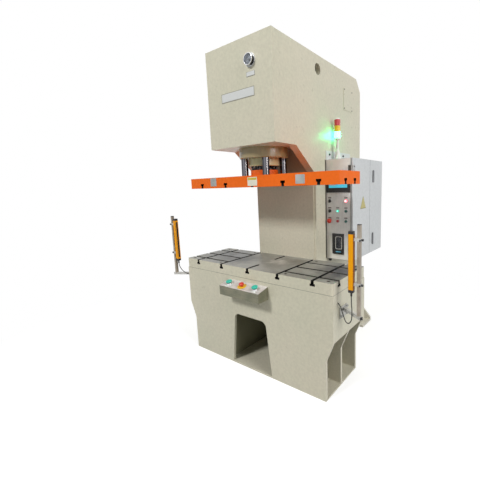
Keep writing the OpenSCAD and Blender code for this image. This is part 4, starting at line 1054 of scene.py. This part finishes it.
class PRESS_OT_plates(bpy.types.Operator):
    """Bare plates and blank labels"""

    bl_idname = "press.plates"
    bl_label = "Bare plates"

    def execute(self, context):
        thick = sizes().plate_thickness
        head, ram = low("head_front_plate").y, low("ram_plate").y
        bed, band = head + thick * 0.5, ram - thick * 0.7
        for name, body, x, y, z, width, height, coat, radius in (
            ("nameplate_bed", "frame", -0.005, bed, 1.986, 0.307, 0.061, "plate_edge", 0.003),
            ("head_nameplate", "frame", -0.005, head, 1.987, 0.298, 0.052, "pale_plate", 0.003),
            ("gauge_plate_bed", "frame", 0.1225, bed, 2.0915, 0.075, 0.031, "plate_edge", 0.003),
            ("gauge_plate", "frame", 0.1215, head, 2.093, 0.069, 0.025, "pale_plate", 0.003),
            ("ram_plate_left", "ram", -0.4155, ram, 1.426, 0.069, 0.064, "plate", 0.003),
            ("ram_plate_right", "ram", 0.419, ram, 1.4205, 0.072, 0.059, "plate", 0.003),
            ("ram_label", "ram", 0.0045, ram, 1.419, 0.093, 0.062, "label", 0.003),
            ("ram_label_band", "ram", 0.0045, band, 1.4375, 0.084, 0.015, "label_band", 0.001),
        ):
            slabs(name, body, coat,
                  (facing((x, y, z), FRONT), width, height, radius, thick, thick * 0.4))
        self.door_patch(thick)
        self.tags()
        self.painted_shadow_gaps()
        self.table_fittings()
        self.hinge_shadows()
        return {"FINISHED"}

    def door_patch(self, thick):
        """Plain triangular patch on the door, with its border."""
        door = high("cabinet_door").x
        outer = ((-0.0575, -0.050), (0.0575, -0.050), (0.0, 0.052))
        deep = thick * 0.8
        for name, size, lift, coat in (("door_patch_border", 1.0, 0.0, "patch_edge"),
                                       ("door_patch", 0.9, thick * 0.6, "patch")):
            rings = [[(u * size * k, v * size * k, w) for u, v in outer]
                     for k, w in ((1, 0), (1, deep * 0.6), (0.98, deep))]
            place = facing((door + lift, 0.6025, 1.2285), RIGHT)
            piece(name, "door", lambda m: stack(m, rings, place), coat)

    def tags(self):
        """Small bare tags over the panel's devices and before the hand buttons."""
        face = low("operator_panel").y
        places = [(x, z) for z in DEVICE_ZS for x in DEVICE_XS]
        # There is no device in the middle of the top row
        places.remove((DEVICE_XS[1], DEVICE_ZS[0]))
        slabs("device_tags", "frame", "tag", *(
            (facing((x, face, z + 0.0255), FRONT), 0.027, 0.0085, 0.001, 0.0008, 0.0003)
            for x, z in places))
        out = Vector((0, -math.sin(CONSOLE_TILT), math.cos(CONSOLE_TILT)))
        y, z = low("console_box").y + 0.016, CONSOLE_EDGE_Z + 0.016 * math.tan(CONSOLE_TILT)
        slabs("console_tags", "frame", "white", *(
            (facing((middle(node).x + 0.006, y, z), out, (0, 1, 0)),
             0.042, 0.018, 0.002, 0.0010, 0.0003)
            for node in ("hand_button_left", "hand_button_right")))

    def painted_shadow_gaps(self):
        """Dark strips beside the operator panel: painted shadow in the gaps at its edges."""
        panel, bottom = low("operator_panel").y, low("cabinet_box").z
        top = bottom + CABINET_HEIGHT
        slabs("panel_painted_shadow_gaps", "frame", "seal", *(
            (facing((x, y, (bottom + top) / 2), FRONT), wide, top - bottom - 0.004, 0.0008, deep,
             0.0006)
            for x, wide, deep, y in ((0.3025, 0.005, 0.0065, panel + 0.001),
                                     (0.5200, 0.0042, 0.0030, panel + 0.0035))))

    def table_fittings(self):
        """A dark ring in the joint under the table plate as painted shadow, and rims of its tapped
        holes darkened as painted shade.
        """
        table = low("work_table")
        size, centre = high("work_table") - table, middle("work_table")
        rings = [outline(size.x + 2 * grow, size.y + 2 * grow, 0.014 + grow, w)
                 for grow, w in ((-0.0004, 0), (-0.0004, 0.0028), (-0.004, 0.0028), (-0.004, 0))]
        place = Matrix.Translation((centre.x, centre.y, table.z))
        piece("table_joint_painted_shadow", "frame", lambda m: stack(m, rings, place, True), "plate_edge")
        turned("tapped_hole_shade_rims", "frame", "seal", [
            facing((side * x, y, table.z + size.z), UP, (0, 1, 0))
            for x in (0.322, size.x / 2 - 0.050)
            for y in (table.y + 0.038, table.y + size.y - 0.038) for side in (-1, 1)
        ], ((0.0068, -0.001), (0.0068, 0.0002), (0.0115, 0.0002), (0.0115, -0.001)), 32, True)

    def hinge_shadows(self):
        """Dark slabs under the hinge leaves, showing round them as painted shadow, and the fold
        line down the door.
        """
        panel, (a, b) = low("operator_panel").y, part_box("cabinet_door")
        for name, body, x, y, way, wide in (
            ("hinge_painted_shadows", "frame", 0.5085, panel, FRONT, 0.022),
            ("leaf_painted_shadows", "door", b.x, 0.4205, RIGHT, 0.036),
        ):
            slabs(name, body, "seal", *(
                (facing((x, y, z), way), wide, 0.059, 0.002, 0.0012, 0.0003) for z in HINGE_ZS))
        fold = facing((b.x, 0.745, (a.z + b.z) / 2), RIGHT)
        slabs("door_fold", "door", "fold", (fold, 0.0045, b.z - a.z - 0.002, 0.0005, 0.00018,
                                            0.00005))


class PRESS_OT_gauge(bpy.types.Operator):
    """Dial, scale, numbers and bezel of the pressure gauge"""

    bl_idname = "press.gauge"
    bl_label = "Gauge"

    def execute(self, context):
        a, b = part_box("gauge_case")
        x, z = (a.x + b.x) / 2, (a.z + b.z) / 2
        dial = facing((x, b.y - 0.0062, z), FRONT)
        turned("gauge_dial", "frame", "dial", [dial], ((0.0316, 0), (0.0316, 0.0006)))
        ticks = tick_tree()
        for name, count, radius, long, wide in (
            ("dial_fine_scale", 51, 0.0278, 0.0020, 0.0004),
            ("dial_main_scale", 11, 0.0269, 0.0038, 0.0009),
        ):
            grown(name, "frame", ticks, bpy.data.meshes.new("dial_source"), {
                "Count": count, "Radius": radius, "Length": long, "Width": wide,
                "Finish": COATS["ink"],
            }, dial @ Matrix.Translation((0, 0, 0.0007)))
        self.numbers(dial)
        turned("gauge_bezel", "frame", "bright", [facing((x, a.y, z), FRONT)],
               ((0.0322, -0.0030), (0.0360, -0.0030), (0.0366, 0.0), (0.0360, 0.0020),
                (0.0343, 0.0026), (0.0327, 0.0014)), 64, True)
        turned("needle_cap", "needle", "black_steel", [facing((x, b.y - 0.0145, z), FRONT)],
               ((0.0045, 0), (0.0045, 0.0012), (0.0030, 0.0022), (0.0004, 0.0024)), 32)
        return {"FINISHED"}

    def numbers(self, dial):
        """Numbers 0 to 50 round the scale."""
        radius = 0.0210
        for step in range(6):
            name = f"dial_number_{step}"
            curve = bpy.data.curves.new(name, "FONT")
            curve.body, curve.size, curve.extrude = str(step * 10), 0.0062, 0.0001
            curve.align_x = curve.align_y = "CENTER"
            data = plain_mesh(linked(name + "_text", curve), name)
            angle = math.radians(225 - 54 * step)
            shift = (radius * math.cos(angle), radius * math.sin(angle), 0.0008)
            data.transform(dial @ Matrix.Translation(shift))
            data.materials.clear()
            data.materials.append(COATS["ink"])
            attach(linked(name, data), "frame")


class PRESS_OT_screen(bpy.types.Operator):
    """Lit display and the faces of the two sockets"""

    bl_idname = "press.screen"
    bl_label = "Screen and sockets"

    def execute(self, context):
        a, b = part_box("touch_screen")
        place = facing(((a.x + b.x) / 2, b.y - 0.0055, (a.z + b.z) / 2 + 0.007), FRONT)
        slabs("display_glow", "frame", "screen",
              (place, b.x - a.x - 0.0445, b.z - a.z - 0.0585, 0.002, 0.0008, 0.0003))
        slabs("display_bars", "frame", "white", *(
            (place @ Matrix.Translation((u, v, 0.0009)), wide, 0.006, 0.001, 0.0004, 0.0001)
            for u, v, wide in ((-0.045, 0.022, 0.05), (-0.03, 0.0, 0.08), (-0.045, -0.022, 0.05),
                               (0.045, 0.022, 0.035))))
        a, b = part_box("socket_frame")
        x, wall = (a.x + b.x) / 2, b.y - 0.004 - 0.012
        turned("socket_faces", "frame", "device",
               [facing((x, wall, z), FRONT) for z in SOCKET_ZS],
               ((0.0205, 0), (0.0205, 0.001), (0.0185, 0.0022), (0.0165, 0.0022),
                (0.0155, 0.0004), (0.0002, 0.0003)), 40)
        turned("socket_contacts", "frame", "black",
               [facing((x + du, wall - 0.0003, z), FRONT)
                for z in SOCKET_ZS for du in (-0.0065, 0.0065)],
               ((0.0022, 0), (0.0022, 0.0004)), 16)
        self.cover_rim()
        self.lamp_cores()
        return {"FINISHED"}

    def lamp_cores(self):
        """Brighter middles of the two panel lamps."""
        y = low("panel_lamps").y + 0.0002
        for name, x, z, coat in (
            ("lamp_core_red", DEVICE_XS[2], DEVICE_ZS[0], "lamp_red"),
            ("lamp_core_green", DEVICE_XS[1], DEVICE_ZS[1], "lamp_green"),
        ):
            turned(name, "frame", coat, [facing((x, y, z), FRONT)],
                   ((0.0062, -0.001), (0.0062, 0.0002), (0.0045, 0.0007), (0.0003, 0.0009)), 24)

    def cover_rim(self):
        """Rounded black rim, a pale line round the window as a painted highlight on its edge, and
        blue tag on the clear lid.
        """
        a, b = low("socket_lid"), high("socket_frame")
        s = low("socket_frame")
        x, z = (s.x + b.x) / 2, (a.z + b.z) / 2 - 0.001
        wide, tall = b.x - s.x - 0.001, b.z - a.z - 0.003
        place = facing((x, s.y + 0.0012, z), FRONT)
        open_w, open_h, *shift = WINDOW
        rim = [outline(wide - 2 * k, tall - 2 * k, 0.016, w)
               for k, w in ((0, 0), (0, 0.0022), (0.003, 0.0035))]
        rim += [outline(open_w - k, open_h - k, 0.012, w, shift)
                for k, w in ((0, 0.0035), (0.001, 0.0022), (0.001, 0))]
        line = [outline(open_w - 2 * k, open_h - 2 * k, 0.010, w, shift)
                for k, w in ((0.0045, 0.0002), (0.0045, 0.0014), (0.0095, 0.0014),
                             (0.0095, 0.0002))]
        piece("cover_rim", "socket_cover", lambda m: stack(m, rim, place, True), "black")
        piece("cover_highlight_line", "socket_cover", lambda m: stack(m, line, place, True), "device")
        tag = facing((x + 0.0065, s.y - 0.0023, a.z + 0.010), FRONT)
        slabs("cover_tag", "socket_cover", "blue", (tag, 0.045, 0.008, 0.001, 0.0005, 0.0002))


class PRESS_OT_curtains(bpy.types.Operator):
    """Post caps and arm caps of the light curtains, and the cabinet's gland"""

    bl_idname = "press.curtains"
    bl_label = "Curtain fittings"

    def execute(self, context):
        top = high("curtain_stands").z - 0.0015
        slabs("post_caps", "frame", "black", *(
            (facing((side * POST_X, post_y, top), UP), 0.0206, 0.0206, 0.002, 0.0042, 0.0010)
            for side, _, _, post_y, _ in CURTAINS))
        angle = math.radians(30.5)
        rows = []
        for side, arm, _, post_y, _ in CURTAINS:
            out = Vector((side * math.cos(angle), -math.sin(angle), 0))
            end = Vector((side * POST_X, post_y, arm)) + out * 0.0221
            rows.append((facing(end, out), 0.0192, 0.0192, 0.002, 0.0016, 0.0005))
        slabs("arm_caps", "frame", "black", *rows)
        turned("cabinet_gland", "frame", "black", [facing((0.319, 0.430, 0.777), DOWN)],
               ((0.017, 0), (0.017, 0.007), (0.0140, 0.008), (0.0140, 0.018), (0.009, 0.026),
                (0.0005, 0.0265)), 24)
        return {"FINISHED"}


class PRESS_OT_cables(bpy.types.Operator):
    """The two light-curtain cables as smooth round cords"""

    bl_idname = "press.cables"
    bl_label = "Cables"

    def execute(self, context):
        width = sizes().cable_diameter
        # Top, steps from it, steps to the lower end, and that end; steps are in mm
        for node, top, after, before, end in (
            ("cable_left", (-0.795, -0.267, 0.747), ((2, 1, -22), (11, 5, -46), (28, 13, -70)),
             ((-46, -26, 16), (-22, -12, 5)), (-0.697, -0.215, 0.641)),
            ("cable_right", (0.795, -0.190, 0.728),
             ((0, 1, -36), (-2, 13, -106), (-11, 24, -166), (-31, 29, -193)),
             ((48, 12, -113), (32, 8, -66), (17, 3, -20)), (0.697, -0.178, 0.661)),
        ):
            top, end = Vector(top), Vector(end)
            knots = [top, *(top + Vector(v) * MM for v in after),
                     *(end + Vector(v) * MM for v in before), end]
            path = self.smooth(knots, 8)
            made = piece(node + "_jacket", "frame", lambda m: self.tube(m, path, width / 2),
                         "rubber")
            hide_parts(node)
        return {"FINISHED"}

    def smooth(self, knots, steps):
        """Catmull-Rom curve through the knots."""
        p = [2 * knots[0] - knots[1], *knots, 2 * knots[-1] - knots[-2]]
        path = []
        for i in range(1, len(p) - 2):
            a, b, c, d = p[i - 1 : i + 3]
            for t in (k / steps for k in range(steps)):
                path.append(0.5 * (2 * b + (c - a) * t + (2 * a - 5 * b + 4 * c - d) * t * t
                                   + (3 * b - a - 3 * c + d) * t**3))
        return [*path, knots[-1]]

    def tube(self, mesh, path, radius, sides=16):
        """Round tube along a path, with its rings carried along without twist."""
        side = (path[1] - path[0]).normalized().orthogonal().normalized()
        turns = [2 * math.pi * k / sides for k in range(sides)]
        rings = []
        for i, point in enumerate(path):
            way = (path[min(i + 1, len(path) - 1)] - path[max(i - 1, 0)]).normalized()
            side = (side - way * side.dot(way)).normalized()
            other = way.cross(side)
            rings.append([point + radius * (side * math.cos(t) + other * math.sin(t))
                          for t in turns])
        stack(mesh, rings, Matrix.Identity(4))


class PRESS_OT_welds(bpy.types.Operator):
    """Fillet welds of the base, feet and column"""

    bl_idname = "press.welds"
    bl_label = "Welds"

    def execute(self, context):
        r = sizes().bead_radius
        back = COLUMN_BACK - r * 0.3
        points, edges = [], []
        for side in (-1, 1):
            x = side * COLUMN_X
            runs = [
                ((x, back, 0.02), (x, back, 0.19)),
                ((x + side * r * 0.3, 0.872, 0.02), (x + side * r * 0.3, 1.044, 0.02)),
                ((x + side * 0.002, back, 0.02), (side * 0.43, back, 0.02)),
            ]
            for y in (-0.220, -0.035, -0.015, 0.195):
                runs.append(((x, y, 0.014), (x, y, 0.70)))
                runs.append(((x, y, 0.012), (side * 0.645, y, 0.012)))
            runs.append(((side * 0.68, -0.220, 0.415), (side * 0.68, -0.220, 0.70)))
            for run in runs:
                edges.append((len(points), len(points) + 1))
                points += run
        data = bpy.data.meshes.new("weld_paths")
        data.from_pydata(points, edges, [])
        grown("weld_beads", "frame", bead_tree(), data, {
            "Ripple Pitch": r * 1.1, "Bead Radius": r, "Finish": COATS["cool_cream"],
        }, smooth=60)
        return {"FINISHED"}


OPERATORS = (
    PRESS_OT_stage, PRESS_OT_paint, PRESS_OT_cables, PRESS_OT_screws, PRESS_OT_plates,
    PRESS_OT_gauge, PRESS_OT_screen, PRESS_OT_curtains, PRESS_OT_welds,
)


class PRESS_PT_panel(bpy.types.Panel):
    """Lists the pieces and their sizes"""

    bl_idname = "PRESS_PT_panel"
    bl_label = "Press"
    bl_space_type = "VIEW_3D"
    bl_region_type = "UI"
    bl_category = "Press"

    def draw(self, context):
        for group in (context.scene.press_hues, context.scene.press_sizes):
            for key in group.__annotations__:
                self.layout.prop(group, key)
        for kind in OPERATORS:
            self.layout.operator(kind.bl_idname)


CLASSES = (PressHues, PressSizes, *OPERATORS, PRESS_PT_panel)


def register():
    for kind in CLASSES:
        bpy.utils.register_class(kind)
    bpy.types.Scene.press_hues = bpy.props.PointerProperty(type=PressHues)
    bpy.types.Scene.press_sizes = bpy.props.PointerProperty(type=PressSizes)


def unregister():
    del bpy.types.Scene.press_sizes
    del bpy.types.Scene.press_hues
    for kind in reversed(CLASSES):
        bpy.utils.unregister_class(kind)


def main():
    register()
    bpy.ops.press.stage()
    bpy.ops.press.paint()
    bpy.ops.press.cables()
    bpy.ops.press.screws()
    bpy.ops.press.plates()
    bpy.ops.press.gauge()
    bpy.ops.press.screen()
    bpy.ops.press.curtains()
    bpy.ops.press.welds()


if __name__ == "__main__":
    main()
